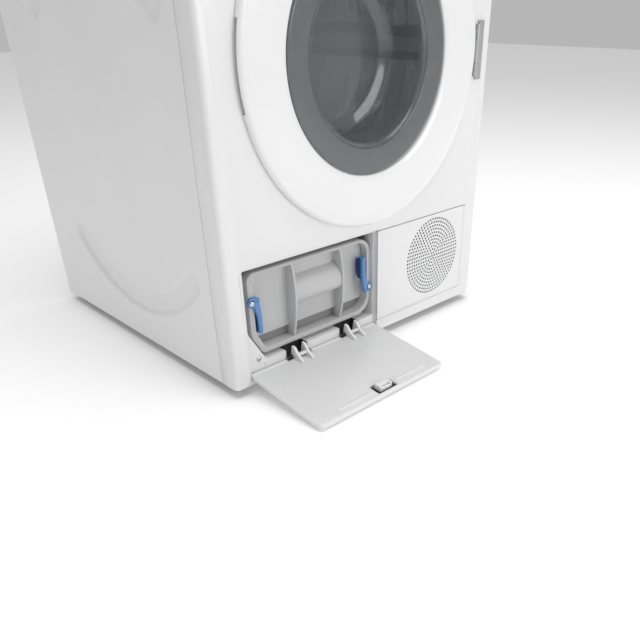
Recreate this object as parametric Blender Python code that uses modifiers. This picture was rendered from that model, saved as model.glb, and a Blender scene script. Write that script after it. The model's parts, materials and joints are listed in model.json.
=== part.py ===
"""Condenser clothes dryer with its base flap open, modelled as separate pieces.

Units are metres, +Z is up and the front faces -Y. Sizes below are from the middle of the cabinet's
footprint; at the end everything moves back by half the open flap's reach, so that the origin is the
middle of the whole footprint.
Run with: blender --background --python part.py
"""

import math

import bmesh
import bpy
from mathutils import Matrix, Vector

# --- driving dimensions -----------------------------------------------------------------------------------
WIDTH = 0.598
DEPTH = 0.600
HEIGHT = 0.842
GAP = 0.0003          # running gap between pieces that touch
SEAM = 0.0006         # visible seam between outer panels
SHEET = 0.0012        # folded steel panels
WALL = 0.003          # moulded plastic walls

HALF = WIDTH / 2
FRONT = -DEPTH / 2
BACK = DEPTH / 2
FOOT_HEIGHT = 0.016   # underside of the base above the floor
CORNER = 0.008        # radius of the two front corners
WRAP_Y = FRONT + 0.0387  # where the folded front meets the side panels
KICK_TOP = 0.204      # top of the ventilation grille
PANEL_Z = 0.727       # seam between front panel and control panel
LID_Z = 0.822         # underside of the worktop

# flap and its recess at the lower left
RECESS_X = (-0.2688, 0.0180)
RECESS_FACE = FRONT + 0.0085
SILL_Z = 0.047
MOUTH_X = (-0.2625, 0.0156)
BLOCK_BACK = -0.270
BAND_TOP = 0.0236     # top of the low front band that runs under the flap
HINGE_Y = FRONT + 0.0056
HINGE_Z = 0.0332
FLAP_X = (-0.2673, 0.0135)
FLAP_LENGTH = 0.1698
FLAP_THICK = 0.008
FLAP_TILT = math.radians(7.2)
FLAP_REACH = 0.1628   # how far the open flap stands out in front of the cabinet
ARM_X = ((-0.178, -0.156), (-0.057, -0.034))
ARM_THICK = 0.0045
POCKET_REACH = 0.0135
PIN_RADIUS = 0.0015

# ventilation grille at the lower right
GRILLE_END = 0.2636
GRILLE_BASE = 0.0374

# heat exchanger cassette
COVER_X = (-0.251, 0.0145)
COVER_Z = (0.054, 0.188)
COVER_FRONT = FRONT + 0.014
COVER_BACK = FRONT + 0.034
COVER_FLOOR = FRONT + 0.030
COVER_TOP = 0.1925    # the rim stands above the core
COVER_RIM = 0.009
COVER_RIM_TOP = 0.005
RIB_X = (-0.163, -0.058)
GRIP_Z = (0.120, 0.159)
LEVER_LEFT = (-0.249, 0.147)
LEVER_RIGHT = (0.006, 0.105)
LEVER_FRONT = FRONT + 0.0075
CORE_END = 0.100
CORE_INSET = 0.006
CHANNEL_ENDS = ((0.0200, 0.0220), (0.0090, 0.0060), (0.004, 0.004), (0.004, 0.004), (0.004, 0.0060),
                (0.0110, 0.0220))

# drum, door and the drive
DOOR_Z = 0.469
DOOR_RADIUS = 0.247
HINGE_X = 0.2535
DOOR_HINGE_Y = FRONT - 0.0055
HOOK_Y = -0.264       # the latch hook turns here, just behind the door's inner ring
DRUM_Z = 0.476
DRUM_RADIUS = 0.268
DRUM_FRONT = -0.225
DRUM_BACK = 0.2155
MOTOR_X = 0.171
MOTOR_Z = 0.1234
PULLEY_RADIUS = 0.009
BELT_Y = (0.1240, 0.1360)
BELT_THICK = 0.002
BELT_GAP = 0.001      # keeps the belt's flats clear of the round drum
DRUM_WRAP = 36        # straight pieces in the belt's turn round the drum
IDLER_RADIUS = 0.020
ROLLER_RADIUS = 0.025
ROLLER_ANGLE = math.radians(35)
GRILLE_X = 0.1713
GRILLE_Z = 0.1234
GRILLE_RADIUS = 0.0719

FOOT_X = 0.235
FOOT_Y = 0.225
KNOB_X = 0.020
KNOB_Z = 0.774

LARGE = 36            # segments of a large turned piece
MEDIUM = 24
SMALL = 12

WHITE = (0.83, 0.84, 0.85)
PALE = (0.72, 0.73, 0.74)
GREY = (0.36, 0.38, 0.41)
DARK = (0.05, 0.05, 0.06)
BLUE = (0.10, 0.22, 0.48)
STEEL = (0.62, 0.63, 0.65)


# --- scene and small helpers ------------------------------------------------------------------------------
for old in list(bpy.data.objects):
    bpy.data.objects.remove(old, do_unlink=True)
PARTS = bpy.data.collections.new("clothes_dryer")
CUTTERS = bpy.data.collections.new("cutters")
bpy.context.scene.collection.children.link(PARTS)
bpy.context.scene.collection.children.link(CUTTERS)


def finish(obj, colour=None, roughness=0.45, metallic=0.0):
    """Give a part its own material, or turn an object without a colour into a hidden cutter."""
    if colour is None:
        CUTTERS.objects.link(obj)
        obj.hide_render = True
        obj.display_type = "WIRE"
        return obj
    PARTS.objects.link(obj)
    material = bpy.data.materials.new(obj.name)
    material.use_nodes = True
    shader = material.node_tree.nodes["Principled BSDF"]
    shader.inputs["Base Color"].default_value = (*colour, 1.0)
    shader.inputs["Roughness"].default_value = roughness
    shader.inputs["Metallic"].default_value = metallic
    obj.data.materials.append(material)
    return obj


def box(name, x, y, z, **look):
    """A block between two values on each axis."""
    bm = bmesh.new()
    bmesh.ops.create_cube(bm, size=1.0)
    size = Vector((x[1] - x[0], y[1] - y[0], z[1] - z[0]))
    bmesh.ops.scale(bm, vec=size, verts=bm.verts)
    mesh = bpy.data.meshes.new(name)
    bm.to_mesh(mesh)
    bm.free()
    obj = bpy.data.objects.new(name, mesh)
    obj.location = (sum(x) / 2, sum(y) / 2, sum(z) / 2)
    return finish(obj, **look)


PLANES = {
    "XY": Matrix(((1, 0, 0), (0, 1, 0), (0, 0, 1))),
    "XZ": Matrix(((1, 0, 0), (0, 0, -1), (0, 1, 0))),
    "YZ": Matrix(((0, 0, 1), (1, 0, 0), (0, 1, 0))),
}


def slab(name, loops, span, plane, **look):
    """Closed 2D loops (an outline, then its holes) extruded over span, across the plane."""
    curve = bpy.data.curves.new(name, "CURVE")
    curve.dimensions = "2D"
    curve.fill_mode = "BOTH"
    curve.extrude = abs(span[1] - span[0]) / 2
    for loop in loops:
        spline = curve.splines.new("POLY")
        spline.points.add(len(loop) - 1)
        for point, (u, v) in zip(spline.points, loop):
            point.co = (u, v, 0, 1)
        spline.use_cyclic_u = True
    drawn = bpy.data.objects.new(name + "_outline", curve)
    CUTTERS.objects.link(drawn)
    bpy.context.view_layer.update()
    graph = bpy.context.evaluated_depsgraph_get()
    mesh = bpy.data.meshes.new_from_object(drawn.evaluated_get(graph))
    bpy.data.objects.remove(drawn, do_unlink=True)
    bm = bmesh.new()
    bm.from_mesh(mesh)
    bmesh.ops.remove_doubles(bm, verts=bm.verts, dist=0.00001)
    bm.transform(PLANES[plane].to_4x4())
    bmesh.ops.recalc_face_normals(bm, faces=bm.faces)
    bm.to_mesh(mesh)
    bm.free()
    mesh.materials.clear()
    obj = bpy.data.objects.new(name, mesh)
    axis = {"XY": 2, "XZ": 1, "YZ": 0}[plane]
    obj.location[axis] = sum(span) / 2
    return finish(obj, **look)


def turned(name, profile, centre, ring=True, axis="Y", steps=LARGE, **look):
    """A profile of (radius, height) points turned about an axis; heights are world values along that axis.

    A ring's profile is a closed loop. Otherwise the profile starts and ends on the axis.
    """
    area = 0.0
    for (r0, h0), (r1, h1) in zip(profile, profile[1:] + profile[:1]):
        area += r0 * h1 - r1 * h0
    points = profile if area < 0 else profile[::-1]
    mesh = bpy.data.meshes.new(name)
    edges = [(i, i + 1) for i in range(len(points) - 1)]
    if ring:
        edges.append((len(points) - 1, 0))
    mesh.from_pydata([(r, 0, h) for r, h in points], edges, [])
    obj = bpy.data.objects.new(name, mesh)
    screw = obj.modifiers.new("turn", "SCREW")
    screw.steps = steps
    screw.render_steps = steps
    screw.use_merge_vertices = True
    screw.merge_threshold = 0.00001
    screw.use_smooth_shade = True
    if axis == "Y":
        obj.rotation_euler = (-math.pi / 2, 0, 0)
        obj.location = (centre[0], 0, centre[1])
    elif axis == "X":
        obj.rotation_euler = (0, math.pi / 2, 0)
        obj.location = (0, centre[0], centre[1])
    else:
        obj.location = (centre[0], centre[1], 0)
    return finish(obj, **look)


def rod(name, centre, radius, span, axis="Y", steps=SMALL, **look):
    """A plain cylinder as a turned piece."""
    low, high = span
    profile = [(0, high), (radius, high), (radius, low), (0, low)]
    return turned(name, profile, centre, ring=False, axis=axis, steps=steps, **look)


def combine(obj, operation, tools):
    for tool in tools:
        modifier = obj.modifiers.new(tool.name, "BOOLEAN")
        modifier.operation = operation
        modifier.object = tool
    return obj


def unite(obj, *tools):
    return combine(obj, "UNION", tools)


def cut(obj, *tools):
    return combine(obj, "DIFFERENCE", tools)


def bevel(obj, width, segments=2):
    modifier = obj.modifiers.new("edges", "BEVEL")
    modifier.width = width
    modifier.segments = segments
    modifier.limit_method = "ANGLE"
    return obj


def arc(centre, radius, start, end, steps):
    """Points on an arc; angles in degrees."""
    angles = [math.radians(start + (end - start) * i / steps) for i in range(steps + 1)]
    return [(centre[0] + radius * math.cos(a), centre[1] + radius * math.sin(a)) for a in angles]


def rounded(x, z, radii, steps=4):
    """A rectangle with a radius for each corner: lower left, lower right, upper right, upper left."""
    corners = [(x[0], z[0], 1, 1, 180), (x[1], z[0], -1, 1, 270), (x[1], z[1], -1, -1, 0),
               (x[0], z[1], 1, -1, 90)]
    points = []
    for (cx, cz, sx, sz, start), radius in zip(corners, radii):
        if radius == 0:
            points.append((cx, cz))
        else:
            points += arc((cx + sx * radius, cz + sz * radius), radius, start, start + 90, steps)
    return points


def circle(centre, radius, steps=MEDIUM):
    return arc(centre, radius, 0, 360, steps)[:-1]


def rectangle(x, z):
    return [(x[0], z[0]), (x[1], z[0]), (x[1], z[1]), (x[0], z[1])]


def wrap(thickness):
    """Plan outline of a front wall that folds round both front corners to the side panels."""
    inner = HALF - thickness
    outside = [(-HALF, WRAP_Y)]
    outside += arc((-HALF + CORNER, FRONT + CORNER), CORNER, 180, 270, 6)
    outside += arc((HALF - CORNER, FRONT + CORNER), CORNER, 270, 360, 6)
    outside += [(HALF, WRAP_Y), (inner, WRAP_Y)]
    radius = CORNER - thickness
    outside += arc((HALF - CORNER, FRONT + CORNER), radius, 360, 270, 6)
    outside += arc((-HALF + CORNER, FRONT + CORNER), radius, 270, 180, 6)
    outside.append((-inner, WRAP_Y))
    return outside


# --- cabinet panels ---------------------------------------------------------------------------------------
def side_panels():
    z = (FOOT_HEIGHT, LID_Z - SEAM)
    y = (WRAP_Y + SEAM, BACK)
    box("side_panel_left", (-HALF, -HALF + SHEET), y, z, colour=WHITE, roughness=0.35)
    box("side_panel_right", (HALF - SHEET, HALF), y, z, colour=WHITE, roughness=0.35)


def front_panel():
    """Folded front sheet with openings for door, flap and grille, and a turned-in edge over the flap."""
    panel = slab("front_panel", [wrap(SHEET)], (FOOT_HEIGHT, PANEL_Z - SEAM), "XY", colour=WHITE,
                 roughness=0.35)
    opening = rod("door_opening", (0, DOOR_Z), 0.206, (-0.32, -0.28), steps=LARGE)
    flap_opening = box("flap_opening", RECESS_X, (-0.31, FRONT + 0.004), (BAND_TOP, 0.2086))
    grille_opening = box("grille_opening", (0.0170, GRILLE_END), (-0.31, FRONT + 0.004),
                         (GRILLE_BASE, KICK_TOP + SEAM))
    cut(panel, opening, flap_opening, grille_opening)
    edge = [(-0.2997, 0.2086), (-0.2936, 0.2034), (-0.2805, 0.2034), (-0.2805, 0.2048), (-0.2930, 0.2048),
            (-0.2978, 0.2090), (-0.2978, 0.2120), (-0.2997, 0.2120)]
    fold = slab("turned_in_edge", [edge], RECESS_X, "YZ")
    return unite(panel, fold)


def rear_panel():
    slots = [rectangle((x - 0.030, x + 0.030), (z, z + 0.005))
             for x in (-0.16, 0.16) for z in (0.10 + 0.014 * i for i in range(6))]
    gland = circle((0.22, 0.70), 0.0108, SMALL)
    outline = rectangle((-0.2972, 0.2972), (FOOT_HEIGHT + SEAM, LID_Z - SEAM))
    slab("rear_panel", [outline, gland, *slots], (0.2965, 0.2977), "XZ", colour=STEEL, roughness=0.4,
         metallic=0.8)
    profile = [(0, 0.2998), (0.013, 0.2998), (0.013, 0.2980), (0.010, 0.2980), (0.010, 0.2880), (0, 0.2880)]
    turned("cord_inlet", profile, (0.22, 0.70), ring=False, steps=SMALL, colour=DARK, roughness=0.6)


def worktop():
    """Moulded shell, hollow from below."""
    outline = rounded((-HALF, HALF), (FRONT, BACK), (CORNER, CORNER, 0.004, 0.004), 6)
    top = slab("top_panel", [outline], (LID_Z, HEIGHT), "XY", colour=WHITE, roughness=0.3)
    bevel(top, 0.003)
    cut(top, box("top_hollow", (-HALF + 0.024, HALF - 0.024), (FRONT + 0.024, BACK - 0.024),
                 (LID_Z - 0.01, HEIGHT - 0.0045)))


# --- frame behind the front sheet, with the flap recess ---------------------------------------------------
def pocket_ranges():
    """The two stretches along X where the flap's arms swing into the sill."""
    return [((a + b) / 2 - POCKET_REACH - 0.010, (a + b) / 2 + POCKET_REACH + 0.010) for a, b in ARM_X]


def service_frame():
    """Moulding behind the front sheet: the recess with its sill and pockets, and a border for the grille."""
    body = box("service_frame", (RECESS_X[0] - WALL, RECESS_X[1]), (FRONT + SHEET + GAP, BLOCK_BACK),
               (0.0165, 0.2030),
               colour=WHITE, roughness=0.4)
    border = box("grille_border", (0.0160, GRILLE_END + WALL), (FRONT + 0.0025, FRONT + 0.0065),
                 (0.0165, 0.2030))
    front_cut = box("flap_space", (RECESS_X[0], 0.0177), (-0.31, RECESS_FACE), (BAND_TOP, 0.21))
    mouth_shape = [(MOUTH_X[0], 0.100), (-0.231, SILL_Z), (MOUTH_X[1], SILL_Z), (MOUTH_X[1], 0.215),
                   (MOUTH_X[0], 0.215)]
    mouth = slab("exchanger_mouth", [mouth_shape], (-0.31, -0.26), "XZ")
    grille_hole = box("grille_hole", (0.0220, GRILLE_END - 0.004), (-0.31, -0.285),
                      (GRILLE_BASE + 0.004, 0.1980))
    screw_hole = rod("screw_hole", (-0.246, 0.052), 0.0021, (-0.30, -0.275), steps=SMALL)
    unite(body, border)
    cut(body, front_cut, mouth, grille_hole, screw_hole)
    for number, (left, right) in enumerate(pocket_ranges()):
        cut(body, box(f"arm_pocket_{number}", (left, right), (-0.31, BLOCK_BACK - WALL), (BAND_TOP, 0.06)))
        for side, x in enumerate((left, right)):
            inward = 1 if side == 0 else -1
            ear_x = sorted((x - inward * 0.002, x + inward * 0.003))
            ear = slab(f"ear_{number}_{side}", [ear_outline()], ear_x, "YZ")
            hole = rod(f"ear_hole_{number}_{side}", (HINGE_Y, HINGE_Z), PIN_RADIUS + GAP,
                       (ear_x[0] - 0.001, ear_x[1] + 0.001), axis="X", steps=SMALL)
            cut(unite(body, ear), hole)
    profile = [(0, -0.2936), (0.0040, -0.2936), (0.0044, -0.2930), (0.0044, -0.2919), (0.0018, -0.2919),
               (0.0018, -0.2800), (0, -0.2800)]
    turned("frame_screw", profile, (-0.246, 0.052), ring=False, steps=SMALL, colour=STEEL, roughness=0.3,
           metallic=1.0)


def ear_outline():
    """Side view of an ear that holds a flap pin, from the sill's front face out round the pin."""
    nose = arc((HINGE_Y, HINGE_Z), 0.0036, 90, 270, 8)
    return nose + [(RECESS_FACE + 0.004, HINGE_Z - 0.0036), (RECESS_FACE + 0.004, HINGE_Z + 0.0036)]


def grille_panel():
    """Insert at the lower right; slots follow the round field of the ventilation grille."""
    outline = rounded((0.0187, GRILLE_END - SEAM), (GRILLE_BASE + SEAM, KICK_TOP - SEAM),
                      (0.004, 0.004, 0.002, 0.002))
    slots = []
    rows = 11
    pitch = 2 * GRILLE_RADIUS / (rows + 1)
    for row in range(rows):
        offset = (row - (rows - 1) / 2) * pitch
        reach = math.sqrt(GRILLE_RADIUS ** 2 - offset ** 2) - 0.004
        z = (GRILLE_Z + offset - 0.0025, GRILLE_Z + offset + 0.0025)
        for x in ((GRILLE_X - reach, GRILLE_X - 0.002), (GRILLE_X + 0.002, GRILLE_X + reach)):
            slots.append(rectangle(x, z))
    slab("grille_panel", [outline, *slots], (FRONT - 0.0008, FRONT + 0.0022), "XZ", colour=WHITE,
         roughness=0.4)


def feet():
    for name, x, y in (("front_left", -1, -1), ("front_right", 1, -1), ("rear_left", -1, 1),
                       ("rear_right", 1, 1)):
        profile = [(0, 0.036), (0.005, 0.036), (0.005, 0.0157), (0.016, 0.0157), (0.020, 0.010), (0.020, 0),
                   (0, 0)]
        turned(f"foot_{name}", profile, (x * FOOT_X, y * FOOT_Y), ring=False, axis="Z", steps=SMALL,
               colour=DARK, roughness=0.7)


def base_tray():
    holes = [circle((x * FOOT_X, y * FOOT_Y), 0.0055, 16) for x in (-1, 1) for y in (-1, 1)]
    x = (-0.2945, 0.2945)
    y = (-0.2680, 0.2945)
    floor = slab("base_tray", [rectangle(x, y), *holes], (FOOT_HEIGHT + GAP, 0.0205), "XY", colour=DARK,
                 roughness=0.6)
    inner = rectangle((x[0] + WALL, x[1] - WALL), (y[0] + WALL, y[1] - WALL))
    rim = slab("tray_rim", [rectangle(x, y), inner], (0.0170, 0.0460), "XY")
    unite(floor, rim)


# --- flap -------------------------------------------------------------------------------------------------
def on_flap(obj):
    """Tip a piece built in the flap's frame: x along the hinge, -y to the free edge, +z off its face."""
    obj.location = (0, HINGE_Y, HINGE_Z)
    obj.rotation_euler = (FLAP_TILT, 0, 0)
    return obj


def recentre(obj):
    """Move an object's location into its mesh, so that its origin is the frame's origin."""
    obj.data.transform(Matrix.Translation(obj.location))
    obj.location = (0, 0, 0)
    return obj


def flap():
    outline = rounded(FLAP_X, (-FLAP_LENGTH, 0), (0.008, 0.008, 0, 0))
    panel = recentre(slab("flap_panel", [outline], (-FLAP_THICK, 0), "XY", colour=PALE, roughness=0.45))
    for number, (left, right) in enumerate(pocket_ranges()):
        notch = recentre(box(f"flap_notch_{number}", (left - 0.003, right + 0.003), (-0.0065, 0.002),
                             (-0.0095, 0.001)))
        cut(panel, on_flap(notch))
    latch_slot = recentre(box("latch_slot", (-0.141, -0.097), (-0.1655, -0.1425), (-0.0035, 0.001)))
    cut(panel, on_flap(latch_slot))
    on_flap(panel)
    latch = recentre(box("flap_latch", (-0.136, -0.102), (-0.1615, -0.1465), (-0.0030, 0.0050),
                         colour=WHITE, roughness=0.4))
    bevel(on_flap(latch), 0.001)
    for number, name in enumerate(("left", "right")):
        arms(name, *ARM_X[number], pocket_ranges()[number])


def arm_outline():
    """Side view of an arm: a foot on the flap, an eye round the pin and a tip that stands up."""
    foot = [(-0.0068, GAP), (-0.026, GAP), (-0.0245, 0.005), (-0.011, 0.010), (-0.003, 0.0190),
            (0.0030, 0.0190)]
    return foot + arc((0, 0), 0.0040, 0, -180, 8)


def arms(name, first, second, pocket):
    """A pair of arm plates tied by a cross bar, and the pin that they turn on."""
    hole = circle((0, 0), PIN_RADIUS + GAP, 12)
    plates = []
    for number, x in enumerate((first, second)):
        look = {"colour": WHITE, "roughness": 0.4} if number == 0 else {}
        label = f"flap_arms_{name}" if number == 0 else f"second_arm_{name}"
        plate = slab(label, [arm_outline(), hole], (x - ARM_THICK / 2, x + ARM_THICK / 2), "YZ", **look)
        plates.append(on_flap(recentre(plate)))
    tie = recentre(box(f"arm_tie_{name}", (first, second), (-0.0110, -0.0060), (0.0055, 0.0090)))
    unite(plates[0], plates[1], on_flap(tie))
    span = (pocket[0] - 0.001, pocket[1] + 0.001)
    rod(f"flap_pin_{name}", (HINGE_Y, HINGE_Z), PIN_RADIUS, span, axis="X", steps=SMALL,
        colour=STEEL, roughness=0.3, metallic=1.0)


# --- heat exchanger cassette ------------------------------------------------------------------------------
def cover_outline(inset, top=COVER_Z[1]):
    """Cover seen from the front: round upper corners and lower right corner, cut-off lower left corner."""
    x0, x1 = COVER_X[0] + inset, COVER_X[1] - inset
    z0, z1 = COVER_Z[0] + inset, top - inset
    slope = 0.020 - 0.4 * inset
    rise = 0.034 - 0.4 * inset
    points = [(x0, z0 + rise), (x0 + slope, z0)]
    points += arc((x1 - 0.034, z0 + 0.034), 0.034, 270, 360, 6)
    points += arc((x1 - 0.028, z1 - 0.028), 0.028, 0, 90, 6)
    points += arc((x0 + 0.014, z1 - 0.014), 0.014, 90, 180, 4)
    return points


def exchanger():
    cover = slab("exchanger_cover", [cover_outline(0, COVER_TOP)], (COVER_FRONT, COVER_BACK), "XZ",
                 colour=GREY, roughness=0.5)
    dish = cover_outline(COVER_RIM, COVER_TOP + COVER_RIM - COVER_RIM_TOP)
    cut(cover, slab("cover_dish", [dish], (COVER_FRONT - 0.01, COVER_FLOOR), "XZ"))
    for number, x in enumerate(RIB_X):
        bulge = [(COVER_FLOOR + 0.001, 0.058), (FRONT + 0.017, 0.062), (FRONT + 0.009, 0.100),
                 (FRONT + 0.0085, 0.150),
                 (FRONT + 0.016, 0.184), (COVER_FLOOR + 0.001, 0.184)]
        unite(cover, slab(f"rib_{number}", [bulge], (x - 0.002, x + 0.002), "YZ"))
    unite(cover, box("grip", RIB_X, (FRONT + 0.0088, FRONT + 0.0135), GRIP_Z))

    left, right = COVER_X[0] + CORE_INSET, COVER_X[1] - CORE_INSET
    low, high = COVER_Z[0] + CORE_INSET, COVER_Z[1] - CORE_INSET
    pitch = (high - low - 0.004) / len(CHANNEL_ENDS)
    channels = []
    for row, (start, end) in enumerate(CHANNEL_ENDS):
        z = (low + 0.004 + row * pitch, low + 0.002 + (row + 1) * pitch)
        channels += [rectangle((left + start, -0.120), z), rectangle((-0.116, right - end), z)]
    slab("exchanger_core", [cover_outline(CORE_INSET), *channels], (COVER_BACK + GAP, CORE_END), "XZ",
         colour=STEEL, roughness=0.4, metallic=0.9)
    slab("exchanger_seal", [cover_outline(0.0005), cover_outline(CORE_INSET - GAP)],
         (COVER_BACK + GAP, COVER_BACK + 0.006),
         "XZ", colour=DARK, roughness=0.8)

    lever("lever_left", LEVER_LEFT, -1, 0.055)
    lever("lever_right", LEVER_RIGHT, 1, 0.058)


def lever(name, pivot, up, reach):
    """A locking lever: a round eye on the rim and a blade beside it that reaches up (1) or down (-1)."""
    middle = pivot[0] + (0.0105 if up < 0 else -0.0105)
    eye = rod(name, pivot, 0.0065, (LEVER_FRONT, COVER_FRONT - GAP), colour=BLUE, roughness=0.4)
    tip = pivot[1] + up * reach
    deep_from = pivot[1] + up * 0.0185
    heel = pivot[1] - up * 0.0040
    neck = box(name + "_neck", sorted((pivot[0], middle)), (LEVER_FRONT + 0.0012, COVER_FRONT - 0.0006),
               (pivot[1] - 0.0035, pivot[1] + 0.0035))
    stem = box(name + "_stem", (middle - 0.0037, middle + 0.0037), (LEVER_FRONT + 0.0006, COVER_FRONT - GAP),
               sorted((heel, tip)))
    blade = box(name + "_blade", (middle - 0.0034, middle + 0.0034), (LEVER_FRONT + 0.0020, FRONT + 0.024),
                sorted((deep_from, tip - up * 0.0035)))
    unite(eye, neck, stem, blade)


def exchanger_housing():
    """Tunnel for the cassette, with a mounting flange behind the service frame and the two air openings."""
    inner_x = (COVER_X[0] - 0.0015, COVER_X[1] + 0.0015)
    inner_z = (COVER_Z[0] - 0.0015, COVER_TOP + 0.0015)
    outer_x = (inner_x[0] - WALL, inner_x[1] + WALL)
    outer_z = (inner_z[0] - WALL, inner_z[1] + WALL)
    start = BLOCK_BACK + 0.0022
    tunnel = slab("exchanger_housing", [rectangle(outer_x, outer_z), rectangle(inner_x, inner_z)],
                  (start, CORE_END + 0.018), "XZ", colour=GREY, roughness=0.6)
    flange = slab("housing_flange",
                  [rectangle((-0.266, 0.0225), (0.0480, 0.200)), rectangle(inner_x, inner_z)],
                  (start, start + WALL), "XZ")
    back = slab("housing_back", [rectangle(outer_x, outer_z), circle((-0.11, 0.121), 0.045)],
                (CORE_END + 0.015, CORE_END + 0.018), "XZ")
    air_in = box("air_in", (-0.200, -0.005), (-0.255, -0.240), (0.18, 0.21))
    cut(unite(tunnel, flange, back), air_in)


# --- door -------------------------------------------------------------------------------------------------
def door():
    centre = (0, DOOR_Z)
    ring = [(DOOR_RADIUS, -0.3006), (DOOR_RADIUS, -0.3055), (0.2435, -0.3095), (0.238, -0.3102),
            (0.172, -0.3085),
            (0.166, -0.3045), (0.166, -0.3006)]
    rim = turned("door_ring", ring, centre, steps=LARGE, colour=WHITE, roughness=0.3)
    cut(rim, box("door_grip", (-0.260, -0.222), (-0.3056, -0.2990), (DOOR_Z - 0.055, DOOR_Z + 0.055)))
    inner = [(0.200, -0.3002), (0.200, -0.268), (0.172, -0.268), (0.172, -0.2705), (0.1975, -0.2705),
             (0.1975, -0.2975),
             (0.150, -0.2975), (0.150, -0.3002)]
    turned("door_inner_ring", inner, centre, colour=PALE, roughness=0.4)
    glass = [(0, -0.228), (0.094, -0.228), (0.111, -0.240), (0.119, -0.300), (0.1655, -0.3065),
             (0.1655, -0.3025),
             (0.124, -0.2985), (0.116, -0.2385), (0.097, -0.224), (0, -0.224)]
    turned("door_glass", glass, centre, ring=False, colour=(0.12, 0.13, 0.14), roughness=0.05)

    low, high = DOOR_Z - 0.018, DOOR_Z + 0.018
    knuckle = [(0.0035, low), (0.0035, high), (0.0018, high), (0.0018, low)]
    leaf = turned("door_hinge_leaf", knuckle, (HINGE_X, DOOR_HINGE_Y), axis="Z", steps=SMALL, colour=STEEL,
                  metallic=1.0)
    strap = box("leaf_strap", (DOOR_RADIUS + GAP, HINGE_X - 0.0022), (-0.3080, -0.3030),
                (low + 0.002, high - 0.002))
    unite(leaf, strap)

    plate = box("door_hinge_bracket", (HINGE_X + 0.006, HINGE_X + 0.020), (-0.3035, FRONT - GAP),
                (DOOR_Z - 0.045, DOOR_Z + 0.045), colour=STEEL, roughness=0.35, metallic=1.0)
    for number, (z0, z1) in enumerate(((DOOR_Z - 0.040, low - GAP), (high + GAP, DOOR_Z + 0.040))):
        unite(plate, rod(f"knuckle_{number}", (HINGE_X, DOOR_HINGE_Y), 0.0035, (z0, z1), axis="Z"))
        unite(plate, box(f"knuckle_arm_{number}", (HINGE_X, HINGE_X + 0.008), (-0.3035, -0.3015), (z0, z1)))
    unite(plate, rod("hinge_pin", (HINGE_X, DOOR_HINGE_Y), PIN_RADIUS, (DOOR_Z - 0.030, DOOR_Z + 0.030),
                     axis="Z", steps=SMALL))

    hook = box("door_hook", (-0.1810, -0.1735), (-0.2670, -0.2450), (DOOR_Z - 0.006, DOOR_Z + 0.006),
               colour=STEEL, roughness=0.3, metallic=1.0)
    hook.data.transform(Matrix.Translation((0, hook.location.y - HOOK_Y, 0)))
    hook.location.y = HOOK_Y
    seal = [(0.204, -0.2675), (0.204, -0.2593), (0.192, -0.2593), (0.192, -0.2675)]
    turned("door_seal", seal, centre, colour=DARK, roughness=0.8)


# --- bulkheads, ducts and filter --------------------------------------------------------------------------
def roller_centres():
    reach = DRUM_RADIUS + GAP + ROLLER_RADIUS
    x = reach * math.sin(ROLLER_ANGLE)
    z = DRUM_Z - reach * math.cos(ROLLER_ANGLE)
    return [("left", (-x, z)), ("right", (x, z))]


def front_bulkhead():
    centre = (0, DOOR_Z)
    throat = [(0.209, -0.2982), (0.209, -0.2565), (0.193, -0.2565), (0.193, -0.2328), (0.187, -0.2328),
              (0.187, -0.2590),
              (0.2065, -0.2590), (0.2065, -0.2982)]
    outline = rectangle((-0.290, 0.290), (0.2075, 0.7485))
    plate = slab("front_bulkhead", [outline], (-0.2335, -0.2315), "XZ", colour=PALE)
    chute = box("chute", (-0.092, 0.092), (-0.2578, -0.2322), (0.2085, 0.320))
    bore = rod("throat_bore", centre, 0.190, (-0.2640, -0.2200), steps=LARGE)
    chute_bore = box("chute_bore", (-0.0895, 0.0895), (-0.2562, -0.2390), (0.20, 0.350))
    unite(plate, turned("throat", throat, centre), chute)
    for side, (x, z) in roller_centres():
        unite(plate, rod(f"roller_axle_{side}", (x, z), 0.004, (-0.2319, -0.204)))
        wheel = [(ROLLER_RADIUS, -0.222), (ROLLER_RADIUS, -0.208), (0.0044, -0.208), (0.0044, -0.222)]
        turned(f"roller_{side}", wheel, (x, z), steps=MEDIUM, colour=DARK, roughness=0.7)
    cut(plate, chute_bore, bore)
    screen = rounded((-0.085, 0.085), (0.262, 0.306), (0.002, 0.002, 0.010, 0.010))
    grip = rounded((-0.025, 0.025), (0.288, 0.298), (0.004,) * 4)
    slab("lint_filter", [screen, grip], (-0.2550, -0.2410), "XZ", colour=BLUE, roughness=0.5)


def rear_bulkhead():
    centre = (0, DRUM_Z)
    outline = rectangle((-0.290, 0.290), (0.2075, 0.7485))
    holes = [circle((0.17 * math.cos(a), DRUM_Z + 0.17 * math.sin(a)), 0.030, 12)
             for a in (math.radians(30 + 60 * i) for i in range(6))]
    slab("rear_bulkhead", [outline, circle(centre, 0.014, 16), *holes], (0.2255, 0.2280), "XZ",
         colour=STEEL, metallic=0.8)
    bearing = [(0.024, 0.2283), (0.024, 0.2480), (0.0103, 0.2480), (0.0103, 0.2283)]
    turned("rear_bearing", bearing, centre, steps=MEDIUM, colour=STEEL, roughness=0.25, metallic=1.0)
    heater()


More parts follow.
